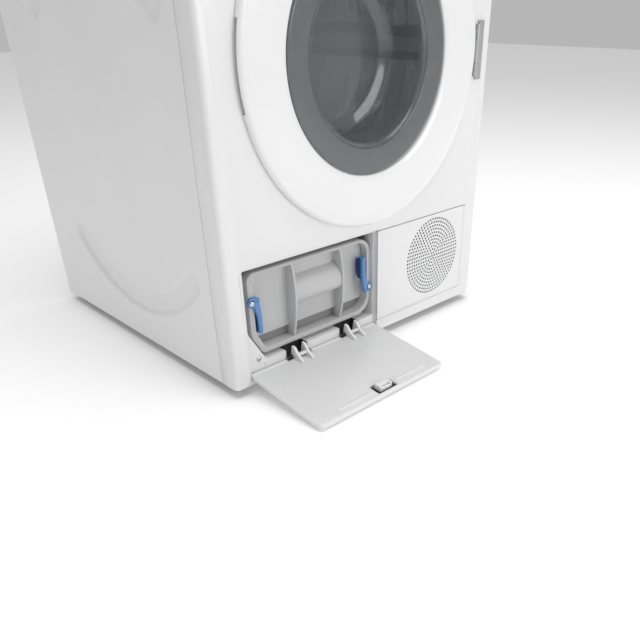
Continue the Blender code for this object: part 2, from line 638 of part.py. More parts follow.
def heater():
    """Tubular heating element bent to and fro across the rear air duct."""
    runs = 5
    pitch = 0.024
    reach = 0.110
    points = []
    for run in range(runs):
        z = 0.560 + run * pitch
        side = 1 if run % 2 == 0 else -1
        points += [(-side * reach, z), (0, z), (side * reach, z)]
        if run < runs - 1:
            bend = arc((reach, z + pitch / 2), pitch / 2, -60, 60, 4)
            points += [(side * x, y) for x, y in bend]
    curve = bpy.data.curves.new("heater", "CURVE")
    curve.dimensions = "3D"
    curve.bevel_depth = 0.004
    curve.bevel_resolution = 2
    curve.use_fill_caps = True
    spline = curve.splines.new("POLY")
    spline.points.add(len(points) - 1)
    for point, (x, z) in zip(spline.points, points):
        point.co = (x, 0.262, z, 1)
    finish(bpy.data.objects.new("heater", curve), colour=STEEL, roughness=0.4, metallic=1.0)


# --- drum and drive ---------------------------------------------------------------------------------------
def drum():
    centre = (0, DRUM_Z)
    wall = 0.0012
    shell = [(0, DRUM_BACK), (DRUM_RADIUS, DRUM_BACK), (DRUM_RADIUS, DRUM_FRONT), (0.240, DRUM_FRONT),
             (0.240, DRUM_FRONT + wall), (DRUM_RADIUS - wall, DRUM_FRONT + wall),
             (DRUM_RADIUS - wall, DRUM_BACK - wall),
             (0, DRUM_BACK - wall)]
    turned("drum_shell", shell, centre, ring=False, steps=LARGE, colour=STEEL, roughness=0.25, metallic=1.0)
    foot = DRUM_RADIUS - wall - 0.004
    section = [(-0.030, foot), (-0.012, foot - 0.042), (0.012, foot - 0.042), (0.030, foot)]
    hollow = [(-0.0270, foot + 0.003), (-0.0102, foot - 0.039), (0.0102, foot - 0.039),
              (0.0270, foot + 0.003)]
    for number in range(3):
        turn = Matrix.Rotation(math.radians(30 + 120 * number), 2)
        loop, core = ([tuple(turn @ Vector(point) + Vector(centre)) for point in shape]
                      for shape in (section, hollow))
        lifter = slab(f"drum_lifter_{number + 1}", [loop], (-0.200, 0.190), "XZ", colour=PALE, roughness=0.4)
        cut(recentre(lifter), recentre(slab(f"lifter_hollow_{number}", [core], (-0.197, 0.187), "XZ")))
    shaft = [(0, 0.2560), (0.010, 0.2560), (0.010, 0.2200), (0.020, 0.2200), (0.020, DRUM_BACK + GAP),
             (0, DRUM_BACK + GAP)]
    turned("drum_shaft", shaft, centre, ring=False, steps=MEDIUM, colour=STEEL, roughness=0.2, metallic=1.0)


def belt_path(extra):
    """Closed loop round drum and motor pulley, a given distance outside both."""
    big = DRUM_RADIUS + BELT_GAP + extra
    small = PULLEY_RADIUS + BELT_GAP + extra
    span = math.hypot(MOTOR_X, MOTOR_Z - DRUM_Z)
    aim = math.degrees(math.atan2(MOTOR_Z - DRUM_Z, MOTOR_X))
    spread = math.degrees(math.acos((big - small) / span))
    return (arc((0, DRUM_Z), big, aim + spread, aim + 360 - spread, DRUM_WRAP)
            + arc((MOTOR_X, MOTOR_Z), small, aim - spread, aim + spread, 6))


def idler_place():
    """Idler centre: on the outside of the belt's left-hand run, half way between drum and pulley."""
    loop = belt_path(BELT_THICK)
    leave_drum = Vector(loop[DRUM_WRAP])
    meet_pulley = Vector(loop[DRUM_WRAP + 1])
    along = (meet_pulley - leave_drum).normalized()
    outward = Vector((along.y, -along.x))
    if outward.x > 0:
        outward = -outward
    return (leave_drum + meet_pulley) / 2 + outward * (IDLER_RADIUS + GAP)


def drive():
    centre = (MOTOR_X, MOTOR_Z)
    slab("belt", [belt_path(BELT_THICK), belt_path(0)], BELT_Y, "XZ", colour=DARK, roughness=0.7)

    case = [(0.044, -0.095), (0.050, -0.087), (0.050, 0.052), (0.044, 0.060), (0.0064, 0.060),
            (0.0064, -0.095)]
    motor = turned("motor_body", case, centre, colour=GREY, roughness=0.5, metallic=0.6)
    side = [(0.125, 0.0208), (0.217, 0.0208), (0.200, 0.090), (0.142, 0.090)]
    for number, y in enumerate((-0.070, 0.020)):
        unite(motor, slab(f"motor_stand_{number}", [side], (y, y + 0.014), "XZ"))
    pivot = idler_pivot()
    bracket = box("idler_bracket", (pivot.x - 0.006, MOTOR_X), (0.046, 0.049),
                  (pivot.y - 0.006, pivot.y + 0.010))
    post = rod("idler_post", tuple(pivot), 0.003, (0.047, 0.1430))
    unite(motor, bracket, post)

    low, high = BELT_Y[0] - 0.001, BELT_Y[1] + 0.001
    flange = PULLEY_RADIUS + 0.002
    shaft = [(0, 0.1860), (0.006, 0.1860), (0.006, high + 0.002), (flange, high + 0.002), (flange, high),
             (PULLEY_RADIUS, high), (PULLEY_RADIUS, low), (flange, low), (flange, low - 0.002),
             (0.006, low - 0.002),
             (0.006, -0.2600), (0, -0.2600)]
    turned("motor_rotor", shaft, centre, ring=False, steps=MEDIUM, colour=STEEL, roughness=0.3, metallic=1.0)
    fan("cooling_fan", 0.060, 7, 0.006, (-0.2560, -0.2360))
    fan("process_fan", 0.074, 11, 0.004, (0.1520, 0.1840))
    scroll = [(0.045, 0.1450), (0.085, 0.1450), (0.085, 0.1930), (0.012, 0.1930), (0.012, 0.1900),
              (0.082, 0.1900),
              (0.082, 0.1480), (0.045, 0.1480)]
    housing = turned("fan_housing", scroll, centre, colour=PALE, roughness=0.5)
    cut(housing, box("fan_outlet", (0.205, 0.240), (0.155, 0.183), (0.17, 0.23)))

    idler = idler_place()
    wheel = [(IDLER_RADIUS, BELT_Y[0]), (IDLER_RADIUS, BELT_Y[1]), (0.0044, BELT_Y[1]), (0.0044, BELT_Y[0])]
    turned("idler_pulley", wheel, tuple(idler), steps=MEDIUM, colour=DARK, roughness=0.5)
    arm_body = slab("idler_arm", [arm_link(pivot, idler), circle(tuple(pivot), 0.0033, 12)],
                    (0.1385, 0.1420), "XZ",
                    colour=STEEL, roughness=0.4, metallic=1.0)
    arm_body.data.transform(Matrix.Translation((-pivot.x, 0, -pivot.y)))
    arm_body.location.x = pivot.x
    arm_body.location.z = pivot.y
    unite(arm_body, rod("idler_axle", tuple(idler), 0.004, (BELT_Y[0] - 0.001, 0.1400)))


def idler_pivot():
    """Where the idler arm turns: below the motor's flank, on a bracket of the motor."""
    return Vector((0.098, 0.070))


def arm_link(start, end):
    """Flat link with round ends between two points."""
    along = end - start
    heading = math.degrees(math.atan2(along.y, along.x))
    return (arc(tuple(start), 0.007, heading + 90, heading + 270, 8)
            + arc(tuple(end), 0.007, heading - 90, heading + 90, 8))


def fan(name, tip, count, thickness, span):
    """Radial paddles round a hub, with a bore for the motor shaft."""
    hub = 0.016
    points = []
    for blade in range(count):
        middle = 2 * math.pi * blade / count
        for radius, side in ((hub, -1), (tip, -1), (tip, 1), (hub, 1)):
            angle = middle + side * math.asin(thickness / 2 / radius)
            points.append((MOTOR_X + radius * math.cos(angle), MOTOR_Z + radius * math.sin(angle)))
    wheel = slab(name, [points, circle((MOTOR_X, MOTOR_Z), 0.0063, 16)], span, "XZ", colour=PALE,
                 roughness=0.5)
    wheel.data.transform(Matrix.Translation((-MOTOR_X, 0, -MOTOR_Z)))
    wheel.location.x = MOTOR_X
    wheel.location.z = MOTOR_Z


def condensate_pump():
    body = box("condensate_pump", (-0.215, -0.145), (0.145, 0.210), (0.0208, 0.060), colour=DARK,
               roughness=0.5)
    unite(body, rod("pump_motor", (-0.180, 0.178), 0.022, (0.050, 0.095), axis="Z"))
    unite(body, rod("pump_spout", (0.165, 0.045), 0.006, (-0.150, -0.125), axis="X"))


# --- control panel ----------------------------------------------------------------------------------------
def control_panel():
    fascia = slab("control_panel", [wrap(WALL)], (PANEL_Z, LID_Z - SEAM), "XY", colour=WHITE, roughness=0.3)
    cut(fascia, box("container_hole", (-0.2640, -0.0500), (-0.32, -0.28), (0.7425, 0.8120)))
    cut(fascia, rod("knob_hole", (KNOB_X, KNOB_Z), 0.0040, (-0.32, -0.28)))
    cut(fascia, box("display_hole", (0.0700, 0.1700), (-0.32, -0.28), (0.7580, 0.7920)))
    window = box("display_window", (0.0705, 0.1695), (-0.3010, -0.2980), (0.7585, 0.7915), colour=DARK,
                 roughness=0.1)
    bevel(window, 0.0006)
    knob = [(0, -0.3230), (0.0215, -0.3230), (0.0245, -0.3030), (0.0030, -0.3030), (0.0030, -0.2880),
            (0, -0.2880)]
    turned("programme_knob", knob, (KNOB_X, KNOB_Z), ring=False, steps=MEDIUM, colour=PALE, roughness=0.35)
    for name, x, radius in (("start_button", 0.245, 0.0090), ("option_button", 0.205, 0.0065)):
        cut(fascia, rod(name + "_hole", (x, KNOB_Z), radius + 0.0006, (-0.32, -0.28)))
        cap = [(0, -0.3045), (radius - 0.001, -0.3045), (radius, -0.3035), (radius, -0.2930), (0, -0.2930)]
        turned(name, cap, (x, KNOB_Z), ring=False, steps=MEDIUM, colour=PALE, roughness=0.35)


def condensate_container():
    """Water drawer behind the control panel, open on top where the pump's jet falls in."""
    front = box("condensate_container", (-0.2630, -0.0510), (-0.3015, -0.2960), (0.7435, 0.8110),
                colour=WHITE, roughness=0.35)
    tank = box("tank", (-0.2580, -0.0560), (-0.2975, 0.0500), (0.7520, 0.8090))
    hollow = box("tank_hollow", (-0.2555, -0.0585), (-0.2930, 0.0475), (0.7545, 0.8200))
    scoop = box("finger_scoop", (-0.185, -0.129), (-0.31, -0.2965), (0.7430, 0.7560))
    cut(unite(front, tank), hollow, scoop)


side_panels()
front_panel()
rear_panel()
worktop()
service_frame()
grille_panel()
feet()
base_tray()
flap()
exchanger()
exchanger_housing()
door()
front_bulkhead()
rear_bulkhead()
drum()
drive()
condensate_pump()
control_panel()
condensate_container()
axes = bpy.data.objects.new("cabinet_axes", None)
axes.location.y = FLAP_REACH / 2
bpy.context.scene.collection.objects.link(axes)
for part in list(PARTS.objects) + list(CUTTERS.objects):
    part.parent = axes
for part in PARTS.objects:
    if part.type == "MESH" and part.data.polygons:
        part.data.shade_smooth()
        part.data.set_sharp_from_angle(angle=math.radians(30))
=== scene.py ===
"""Looks of the condenser dryer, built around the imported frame. Metres, +Z up, the front faces -Y."""
import json
import math

import bmesh
import bpy
from mathutils import Matrix, Vector


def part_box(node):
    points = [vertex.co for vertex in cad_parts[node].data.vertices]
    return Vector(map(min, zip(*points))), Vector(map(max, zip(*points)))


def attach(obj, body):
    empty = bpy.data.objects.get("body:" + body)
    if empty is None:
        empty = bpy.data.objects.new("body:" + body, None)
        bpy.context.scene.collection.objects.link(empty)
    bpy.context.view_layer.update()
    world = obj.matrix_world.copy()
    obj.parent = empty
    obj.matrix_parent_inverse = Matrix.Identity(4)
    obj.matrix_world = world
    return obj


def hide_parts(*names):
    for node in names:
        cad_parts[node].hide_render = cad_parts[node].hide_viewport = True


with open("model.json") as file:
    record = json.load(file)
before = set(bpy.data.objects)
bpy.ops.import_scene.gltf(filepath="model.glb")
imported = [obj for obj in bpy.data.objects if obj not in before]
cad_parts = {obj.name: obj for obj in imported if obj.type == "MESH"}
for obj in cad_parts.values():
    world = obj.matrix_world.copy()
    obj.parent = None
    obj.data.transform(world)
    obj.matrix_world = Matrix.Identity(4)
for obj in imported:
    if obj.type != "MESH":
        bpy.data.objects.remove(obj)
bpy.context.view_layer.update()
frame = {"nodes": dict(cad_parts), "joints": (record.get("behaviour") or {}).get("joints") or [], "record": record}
NODES = frame["nodes"]
JOINTS = {joint["name"]: joint for joint in frame["joints"]}


def pivot(name):
    return Vector(JOINTS[name]["pos_m"])


# --- measures taken from the frame ------------------------------------------------------------------------
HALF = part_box("top_panel")[1].x
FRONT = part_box("top_panel")[0].y
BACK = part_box("top_panel")[1].y
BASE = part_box("front_panel")[0].z
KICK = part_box("grille_panel")[1].z + 0.0006      # top of the ventilation grille
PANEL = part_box("control_panel")[0].z
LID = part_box("top_panel")[0].z
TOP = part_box("top_panel")[1].z
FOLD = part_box("front_panel")[1].y
SEAM = 0.0006
SEAM_ROOM = 0.0006          # extra room that the rounded sheet edges leave at the side seams
CORNER = 0.008
SHEET = 0.0012
WALL = 0.003

RECESS_X = (-0.2688, 0.0180)
GRILLE_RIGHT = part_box("grille_panel")[1].x + SEAM
GRILLE_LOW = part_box("grille_panel")[0].z - SEAM
BEND = 0.0052             # radius of the front sheet's turned-in edge round the recess
RECESS_FACE = 0.0085      # depths are measured from the front plane, positive inwards
SILL = 0.0236
FLAP_TOP = 0.2034          # underside of the front sheet's turned-in edge
MOUTH_X = (-0.2625, 0.0156)
BLOCK_BACK = 0.030
ARM_X = ((-0.178, -0.156), (-0.057, -0.034))
POCKET_HALF = 0.0235
HINGE = pivot("flap_hinge")
FLAP_TILT = math.radians(7.2)
FLAP_LENGTH = 0.1698
FLAP_X = (-0.2673, 0.0135)
COVER_X = (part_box("exchanger_cover")[0].x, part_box("exchanger_cover")[1].x)
COVER_Z = (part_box("exchanger_cover")[0].z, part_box("exchanger_cover")[1].z)
COVER_FRONT = 0.014
COVER_BACK = 0.034
RIM = 0.009
RIM_TOP = 0.005            # the rim is narrower along the top
CORE_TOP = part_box("exchanger_seal")[1].z + 0.0005
PANEL_FACE = 0.0285
PANEL_LOW = 0.0800         # lower edge of the cover's pale panel
WELL = 0.0336
RIB_X = (-0.163, -0.058)
DOOR_Z = pivot("door_hinge").z
DOOR_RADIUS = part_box("door_ring")[1].x
DRUM = pivot("drum_spin")
GRILLE_X, GRILLE_Z = pivot("motor_spin").x, pivot("motor_spin").z
HOLE_PITCH = 0.0065
HOLE_RADIUS = 0.00215
RINGS = 11
KNOB = pivot("knob_turn")


# --- outlines ---------------------------------------------------------------------------------------------
def arc(centre, radius, start, end, steps):
    angles = [math.radians(start + (end - start) * i / steps) for i in range(steps + 1)]
    return [(centre[0] + radius * math.cos(a), centre[1] + radius * math.sin(a)) for a in angles]


def circle(centre, radius, steps=48):
    return arc(centre, radius, 0, 360, steps)[:-1]


def rectangle(u, v):
    return [(u[0], v[0]), (u[1], v[0]), (u[1], v[1]), (u[0], v[1])]


def rounded(u, v, radii, steps=6):
    """A rectangle with a radius for each corner: lower left, lower right, upper right, upper left."""
    points = []
    corners = ((u[0], v[0], 1, 1, 180), (u[1], v[0], -1, 1, 270), (u[1], v[1], -1, -1, 0),
               (u[0], v[1], 1, -1, 90))
    for (cu, cv, su, sv, start), radius in zip(corners, radii):
        points += arc((cu + su * radius, cv + sv * radius), radius, start, start + 90,
                      steps) if radius else [(cu, cv)]
    return points


def soften(points, radius, closed=True, steps=4):
    """Rounds the corners of a path with short curves."""
    points = [Vector(p) for p in points]
    count = len(points)
    result = []
    for i, corner in enumerate(points):
        if not closed and i in (0, count - 1):
            result.append(tuple(corner))
            continue
        before, after = points[i - 1] - corner, points[(i + 1) % count] - corner
        start = corner + before.normalized() * min(radius, before.length * 0.45)
        end = corner + after.normalized() * min(radius, after.length * 0.45)
        for k in range(steps + 1):
            t = k / steps
            result.append(tuple((1 - t) ** 2 * start + 2 * t * (1 - t) * corner + t * t * end))
    return result


def smooth_path(points, steps=6):
    """A Catmull-Rom curve through the points of an open path."""
    points = [Vector(p) for p in points]
    padded = [2 * points[0] - points[1], *points, 2 * points[-1] - points[-2]]
    result = []
    for a, b, c, d in zip(padded, padded[1:], padded[2:], padded[3:]):
        for k in range(steps):
            t = k / steps
            result.append(tuple(0.5 * (2 * b + (c - a) * t + (2 * a - 5 * b + 4 * c - d) * t * t
                                       + (3 * b - a - 3 * c + d) * t ** 3)))
    return result + [tuple(points[-1])]


def signed_area(loop):
    return sum(a[0] * b[1] - b[0] * a[1] for a, b in zip(loop, loop[1:] + loop[:1])) / 2


# --- mesh building ----------------------------------------------------------------------------------------
TURNS = {"XY": Matrix.Identity(4),
         "XZ": Matrix(((1, 0, 0, 0), (0, 0, -1, 0), (0, 1, 0, 0), (0, 0, 0, 1))),
         "YZ": Matrix(((0, 0, 1, 0), (1, 0, 0, 0), (0, 1, 0, 0), (0, 0, 0, 1)))}
SHARP = math.radians(35)


def shade(obj, angle=SHARP):
    obj.data.shade_smooth()
    obj.data.set_sharp_from_angle(angle=angle)
    return obj


def solid(obj):
    """The object with its modifiers applied, or its curve made into a mesh."""
    bpy.context.view_layer.update()
    shape = bpy.data.meshes.new_from_object(obj.evaluated_get(bpy.context.evaluated_depsgraph_get()))
    made = bpy.data.objects.new(obj.name, shape)
    name, place = obj.name, obj.matrix_world.copy()
    bpy.data.objects.remove(obj)
    made.name = name
    shape.transform(place)
    bpy.context.scene.collection.objects.link(made)
    return made


def plate(name, loops, span, plane="XZ", edge=0.0006, segments=2):
    """An outline with holes, thickened over a span and rounded by a small radius along all its edges."""
    curve = bpy.data.curves.new(name, "CURVE")
    curve.dimensions = "2D"
    curve.fill_mode = "BOTH"
    curve.extrude = (span[1] - span[0]) / 2 - edge
    curve.bevel_depth = edge
    curve.bevel_resolution = segments
    curve.offset = -edge
    for number, loop in enumerate(loops):
        if (signed_area(loop) > 0) == (number > 0):
            loop = loop[::-1]
        spline = curve.splines.new("POLY")
        spline.points.add(len(loop) - 1)
        for point, (u, v) in zip(spline.points, loop):
            point.co = (u, v, 0, 1)
        spline.use_cyclic_u = True
    obj = bpy.data.objects.new(name, curve)
    bpy.context.scene.collection.objects.link(obj)
    middle = (span[0] + span[1]) / 2
    lift = Matrix.Translation((0, 0, -middle if plane == "XZ" else middle))
    obj = solid(obj)
    obj.data.transform(TURNS[plane] @ lift)
    return shade(tidy(obj))


def tidy(obj):
    bm = bmesh.new()
    bm.from_mesh(obj.data)
    bmesh.ops.remove_doubles(bm, verts=bm.verts, dist=0.000005)
    bmesh.ops.dissolve_degenerate(bm, dist=0.000005, edges=bm.edges)
    bmesh.ops.recalc_face_normals(bm, faces=bm.faces)
    bm.to_mesh(obj.data)
    bm.free()
    return obj


def lathe(name, profile, centre, axis="Y", steps=96, closed=False, angle=SHARP):
    """A profile of (radius, height) turned round an axis through centre."""
    bm = bmesh.new()
    rings = []
    for k in range(steps):
        a = 2 * math.pi * k / steps
        rings.append([bm.verts.new((r * math.cos(a), r * math.sin(a), h)) for r, h in profile])
    last = len(profile) if closed else len(profile) - 1
    for one, two in zip(rings, rings[1:] + rings[:1]):
        for i in range(last):
            j = (i + 1) % len(profile)
            bm.faces.new((one[i], two[i], two[j], one[j]))
    turn = {"Z": Matrix.Identity(4), "Y": TURNS["XZ"] @ Matrix.Diagonal((1, 1, -1, 1)),
            "X": TURNS["YZ"]}[axis]
    place = {"Z": (centre[0], centre[1], 0), "Y": (centre[0], 0, centre[1]),
             "X": (0, centre[0], centre[1])}[axis]
    bm.transform(Matrix.Translation(place) @ turn)
    mesh = bpy.data.meshes.new(name)
    bm.to_mesh(mesh)
    bm.free()
    obj = bpy.data.objects.new(name, mesh)
    bpy.context.scene.collection.objects.link(obj)
    return shade(tidy(obj), angle)


def tube(name, points, radius, rounding=4):
    """A round rod along a path, with hemispherical ends."""
    curve = bpy.data.curves.new(name, "CURVE")
    curve.dimensions = "3D"
    curve.bevel_depth = radius
    curve.bevel_resolution = rounding
    curve.use_fill_caps = True
    first, last = Vector(points[0]), Vector(points[-1])
    heading, leaving = (first - Vector(points[1])).normalized(), (last - Vector(points[-2])).normalized()
    path = []
    for back in (90, 65, 40, 20):
        a = math.radians(back)
        path.append((first + heading * radius * math.sin(a), max(math.cos(a), 0.05)))
    path += [(Vector(p), 1.0) for p in points]
    for back in (20, 40, 65, 90):
        a = math.radians(back)
        path.append((last + leaving * radius * math.sin(a), max(math.cos(a), 0.05)))
    spline = curve.splines.new("POLY")
    spline.points.add(len(path) - 1)
    for point, (place, size) in zip(spline.points, path):
        point.co = (*place, 1)
        point.radius = size
    obj = bpy.data.objects.new(name, curve)
    bpy.context.scene.collection.objects.link(obj)
    return shade(tidy(solid(obj)))


def combined(obj, operation, tools, edge=0.0, segments=2, limit=50):
    """Joins or cuts with other solids, then rounds the new sharp edges."""
    for tool in tools:
        step = obj.modifiers.new("step", "BOOLEAN")
        step.operation = operation
        step.solver = "EXACT"
        step.object = tool
    if edge:
        rounding = obj.modifiers.new("edges", "BEVEL")
        rounding.width = edge
        rounding.segments = segments
        rounding.limit_method = "ANGLE"
        rounding.angle_limit = math.radians(limit)
        rounding.miter_outer = "MITER_ARC"
    made = solid(obj)
    for tool in tools:
        bpy.data.objects.remove(tool)
    return shade(made)


def cut(obj, *tools, **edges):
    return combined(obj, "DIFFERENCE", tools, **edges)


def unite(obj, *tools, **edges):
    return combined(obj, "UNION", tools, **edges)


def joined(name, objects):
    """Several meshes as one object."""
    bm = bmesh.new()
    for obj in objects:
        bm.from_mesh(obj.data)
        bpy.data.objects.remove(obj)
    mesh = bpy.data.meshes.new(name)
    bm.to_mesh(mesh)
    bm.free()
    made = bpy.data.objects.new(name, mesh)
    bpy.context.scene.collection.objects.link(made)
    return shade(made)


def prism(name, loop, span, plane="XZ"):
    return plate(name, [loop], span, plane, edge=0.00001, segments=0)


def block(name, x, y, z, edge=0.0006):
    return plate(name, [rounded(x, z, (edge,) * 4, 3)], y, "XZ", edge=edge)


def deep(start, end):
    """Two depths behind the front plane as a span in y."""
    return (FRONT + start, FRONT + end)


# --- materials --------------------------------------------------------------------------------------------
def material(name, colour, roughness, grain=900, relief=0.00004, mottle=0.03, metallic=0.0, coat=0.0,
             stretch=None, **extra):
    """Slow noise varies the colour and the roughness, and a finer one gives the moulded or painted grain."""
    made = bpy.data.materials.new(name)
    made.use_nodes = True
    tree = made.node_tree
    shader = tree.nodes["Principled BSDF"]
    place = tree.nodes.new("ShaderNodeTexCoord")
    mapping = tree.nodes.new("ShaderNodeMapping")
    mapping.inputs["Scale"].default_value = stretch or (1, 1, 1)
    tree.links.new(place.outputs["Object"], mapping.inputs["Vector"])

    slow = tree.nodes.new("ShaderNodeTexNoise")
    slow.inputs["Scale"].default_value = 7.0
    slow.inputs["Detail"].default_value = 3.0
    tree.links.new(mapping.outputs["Vector"], slow.inputs["Vector"])
    ramp = tree.nodes.new("ShaderNodeValToRGB")
    ramp.color_ramp.elements[0].position = 0.3
    ramp.color_ramp.elements[1].position = 0.7
    ramp.color_ramp.elements[0].color = (*[c * (1 - mottle) for c in colour], 1)
    ramp.color_ramp.elements[1].color = (*[min(1, c * (1 + mottle)) for c in colour], 1)
    tree.links.new(slow.outputs["Fac"], ramp.inputs["Fac"])
    tree.links.new(ramp.outputs["Color"], shader.inputs["Base Color"])

    wear = tree.nodes.new("ShaderNodeMapRange")
    wear.inputs["To Min"].default_value = roughness - 0.05
    wear.inputs["To Max"].default_value = roughness + 0.05
    tree.links.new(slow.outputs["Fac"], wear.inputs["Value"])
    tree.links.new(wear.outputs["Result"], shader.inputs["Roughness"])

    fine = tree.nodes.new("ShaderNodeTexNoise")
    fine.inputs["Scale"].default_value = grain
    fine.inputs["Detail"].default_value = 2.0
    tree.links.new(mapping.outputs["Vector"], fine.inputs["Vector"])
    bump = tree.nodes.new("ShaderNodeBump")
    bump.inputs["Strength"].default_value = 0.5
    bump.inputs["Distance"].default_value = relief
    tree.links.new(fine.outputs["Fac"], bump.inputs["Height"])
    tree.links.new(bump.outputs["Normal"], shader.inputs["Normal"])
    shader.inputs["Metallic"].default_value = metallic
    shader.inputs["Coat Weight"].default_value = coat
    for socket, value in extra.items():
        shader.inputs[socket.replace("_", " ")].default_value = value
    return made


FINISHES = {
    "cabinet_paint": material("enamel", (0.80, 0.80, 0.80), 0.34, grain=420, relief=0.00005, mottle=0.012,
                              coat=0.25),
    "white_plastic": material("white_moulding", (0.80, 0.80, 0.80), 0.36, grain=1400, relief=0.00003,
                              mottle=0.012),
    "door_plastic": material("door_moulding", (0.84, 0.84, 0.84), 0.22, grain=300, relief=0.00003,
                             mottle=0.01, coat=0.4),
    "pale_plastic": material("pale_moulding", (0.72, 0.72, 0.72), 0.48, grain=2200, relief=0.00005,
                             mottle=0.02),
    "grey_plastic": material("grey_moulding", (0.54, 0.54, 0.54), 0.50, grain=2600, relief=0.00007,
                             mottle=0.03),
    "black_plastic": material("black_moulding", (0.022, 0.022, 0.024), 0.45, grain=1800, relief=0.00005,
                              mottle=0.15),
    "lever_blue": material("blue_moulding", (0.10, 0.25, 0.54), 0.36, grain=1500, relief=0.00003,
                           mottle=0.06),
    "fan_plastic": material("fan_moulding", (0.06, 0.065, 0.07), 0.5, grain=1500, mottle=0.1),
    "glass": material("bowl_glass", (0.90, 0.92, 0.93), 0.06, grain=60, relief=0.00002, mottle=0.01,
                      Transmission_Weight=0.92, IOR=1.45),
    "drum_steel": material("brushed_drum", (0.60, 0.60, 0.61), 0.28, grain=120, relief=0.00006, mottle=0.06,
                           metallic=1.0, stretch=(1, 9, 1)),
    "zinc_steel": material("zinc_sheet", (0.48, 0.49, 0.50), 0.42, grain=260, relief=0.00008, mottle=0.14,
                           metallic=0.9),
    "bright_steel": material("bright_screw", (0.66, 0.67, 0.69), 0.22, grain=1800, relief=0.00003,
                             mottle=0.05, metallic=1.0),
    "aluminium_core": material("fin_foil", (0.70, 0.71, 0.73), 0.35, grain=900, relief=0.0001, mottle=0.08,
                               metallic=1.0,
                               stretch=(1, 0.1, 1)),
    "motor_casting": material("cast_case", (0.22, 0.23, 0.24), 0.55, grain=700, relief=0.0002, mottle=0.12,
                              metallic=0.7),
    "rubber": material("dark_rubber", (0.025, 0.025, 0.026), 0.75, grain=1600, relief=0.00008, mottle=0.2),
    "belt_rubber": material("belt_rubber", (0.018, 0.018, 0.018), 0.8, grain=1400, relief=0.0001,
                            mottle=0.2),
}
# Darker grey for the cover's well: painted shade under the lower edge of the cover's panel.
WELL_PAINTED_SHADE = material("grey_painted_shade", (0.25, 0.25, 0.25), 0.6, grain=2600, relief=0.00007, mottle=0.06)
# Dark navy for the side of the levers' blades: painted shade.
LEVER_PAINTED_SHADE = material("blue_painted_shade", (0.006, 0.040, 0.16), 0.5, grain=1500, relief=0.00003, mottle=0.1)
for part in frame["record"]["subparts"]:
    slots = NODES[part["node"]].data.materials
    slots.clear()
    slots.append(FINISHES[part["material_slot"]])


def place(obj, body, slot, *replaced):
    """Gives a piece its finish and the body it rides on, and hides the CAD nodes it stands for."""
    obj.data.materials.clear()
    obj.data.materials.append(FINISHES[slot])
    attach(obj, body)
    if replaced:
        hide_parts(*replaced)
    return obj


# --- cabinet skin -----------------------------------------------------------------------------------------
PRESS_Y, PRESS_Z = FRONT + 0.278, 0.354      # centre of the pressed ring on the side panels
PRESS_RADIUS = 0.2605
PRESS_HALF = 0.0225
PRESS_DEPTH = 0.0055
PRESS_RAMP = 0.0075
PRESS_ARCS = ((225, 315), (45, 135))


def pressed(y, z):
    """How far the pressed band pushes the side panel in at a point."""
    dy, dz = y - PRESS_Y, z - PRESS_Z
    angle = math.degrees(math.atan2(dz, dy)) % 360
    nearest = 1.0
    for start, end in PRESS_ARCS:
        if start <= angle <= end:
            nearest = min(nearest, abs(math.hypot(dy, dz) - PRESS_RADIUS))
        for tip in (start, end):
            a = math.radians(tip)
            nearest = min(nearest,
                          math.hypot(dy - PRESS_RADIUS * math.cos(a), dz - PRESS_RADIUS * math.sin(a)))
    share = min(1.0, max(0.0, (PRESS_HALF - nearest) / PRESS_RAMP))
    return PRESS_DEPTH * share * share * (3 - 2 * share)


def spaced(low, high, step):
    """Grid lines with extra ones close to both edges, for the folded edge."""
    fine = [0, 0.0003, 0.0007, 0.0012, 0.0020]
    count = round((high - low - 2 * fine[-1]) / step)
    inside = [low + fine[-1] + (high - low - 2 * fine[-1]) * i / count for i in range(1, count)]
    return [low + f for f in fine] + inside + [high - f for f in reversed(fine)]


def rolled(value, low, high, radius=0.0012):
    near = min(value - low, high - value)
    return radius - math.sqrt(max(0.0, radius ** 2 - max(0.0, radius - near) ** 2))


def side_skin(name, side):
    low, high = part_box(name)
    ys, zs = spaced(low.y + SEAM_ROOM / 2, high.y, 0.0040), spaced(low.z, high.z, 0.0040)
    bm = bmesh.new()
    rows = []
    for z in zs:
        row = []
        for y in ys:
            inward = pressed(y, z) + rolled(y, low.y + SEAM_ROOM / 2, high.y) + rolled(z, low.z, high.z)
            row.append(bm.verts.new((side * (HALF - inward), y, z)))
        rows.append(row)
    for below, above in zip(rows, rows[1:]):
        for i in range(len(ys) - 1):
            loop = (below[i], below[i + 1], above[i + 1], above[i])
            bm.faces.new(loop if side > 0 else loop[::-1])
    mesh = bpy.data.meshes.new(name + "_skin")
    bm.to_mesh(mesh)
    bm.free()
    obj = bpy.data.objects.new(name + "_skin", mesh)
    bpy.context.scene.collection.objects.link(obj)
    thick = obj.modifiers.new("sheet", "SOLIDIFY")
    thick.thickness = 0.0008
    thick.offset = -1
    place(shade(solid(obj)), "cabinet", "cabinet_paint", name)


def wrap_loop(thickness, grow=0.0):
    """Plan outline of a front wall that folds round both front corners to the side panels."""
    reach = FOLD - SEAM_ROOM
    centre_x, centre_y = HALF - CORNER, FRONT + CORNER
    outer = [(-HALF, reach)]
    outer += arc((-centre_x, centre_y), CORNER + grow, 180, 270, 16)
    outer += arc((centre_x, centre_y), CORNER + grow, 270, 360, 16) + [(HALF, reach)]
    inner = [(HALF - thickness, reach)]
    inner += arc((centre_x, centre_y), CORNER - thickness, 360, 270, 12)
    inner += arc((-centre_x, centre_y), CORNER - thickness, 270, 180, 12) + [(-HALF + thickness, reach)]
    return outer + inner


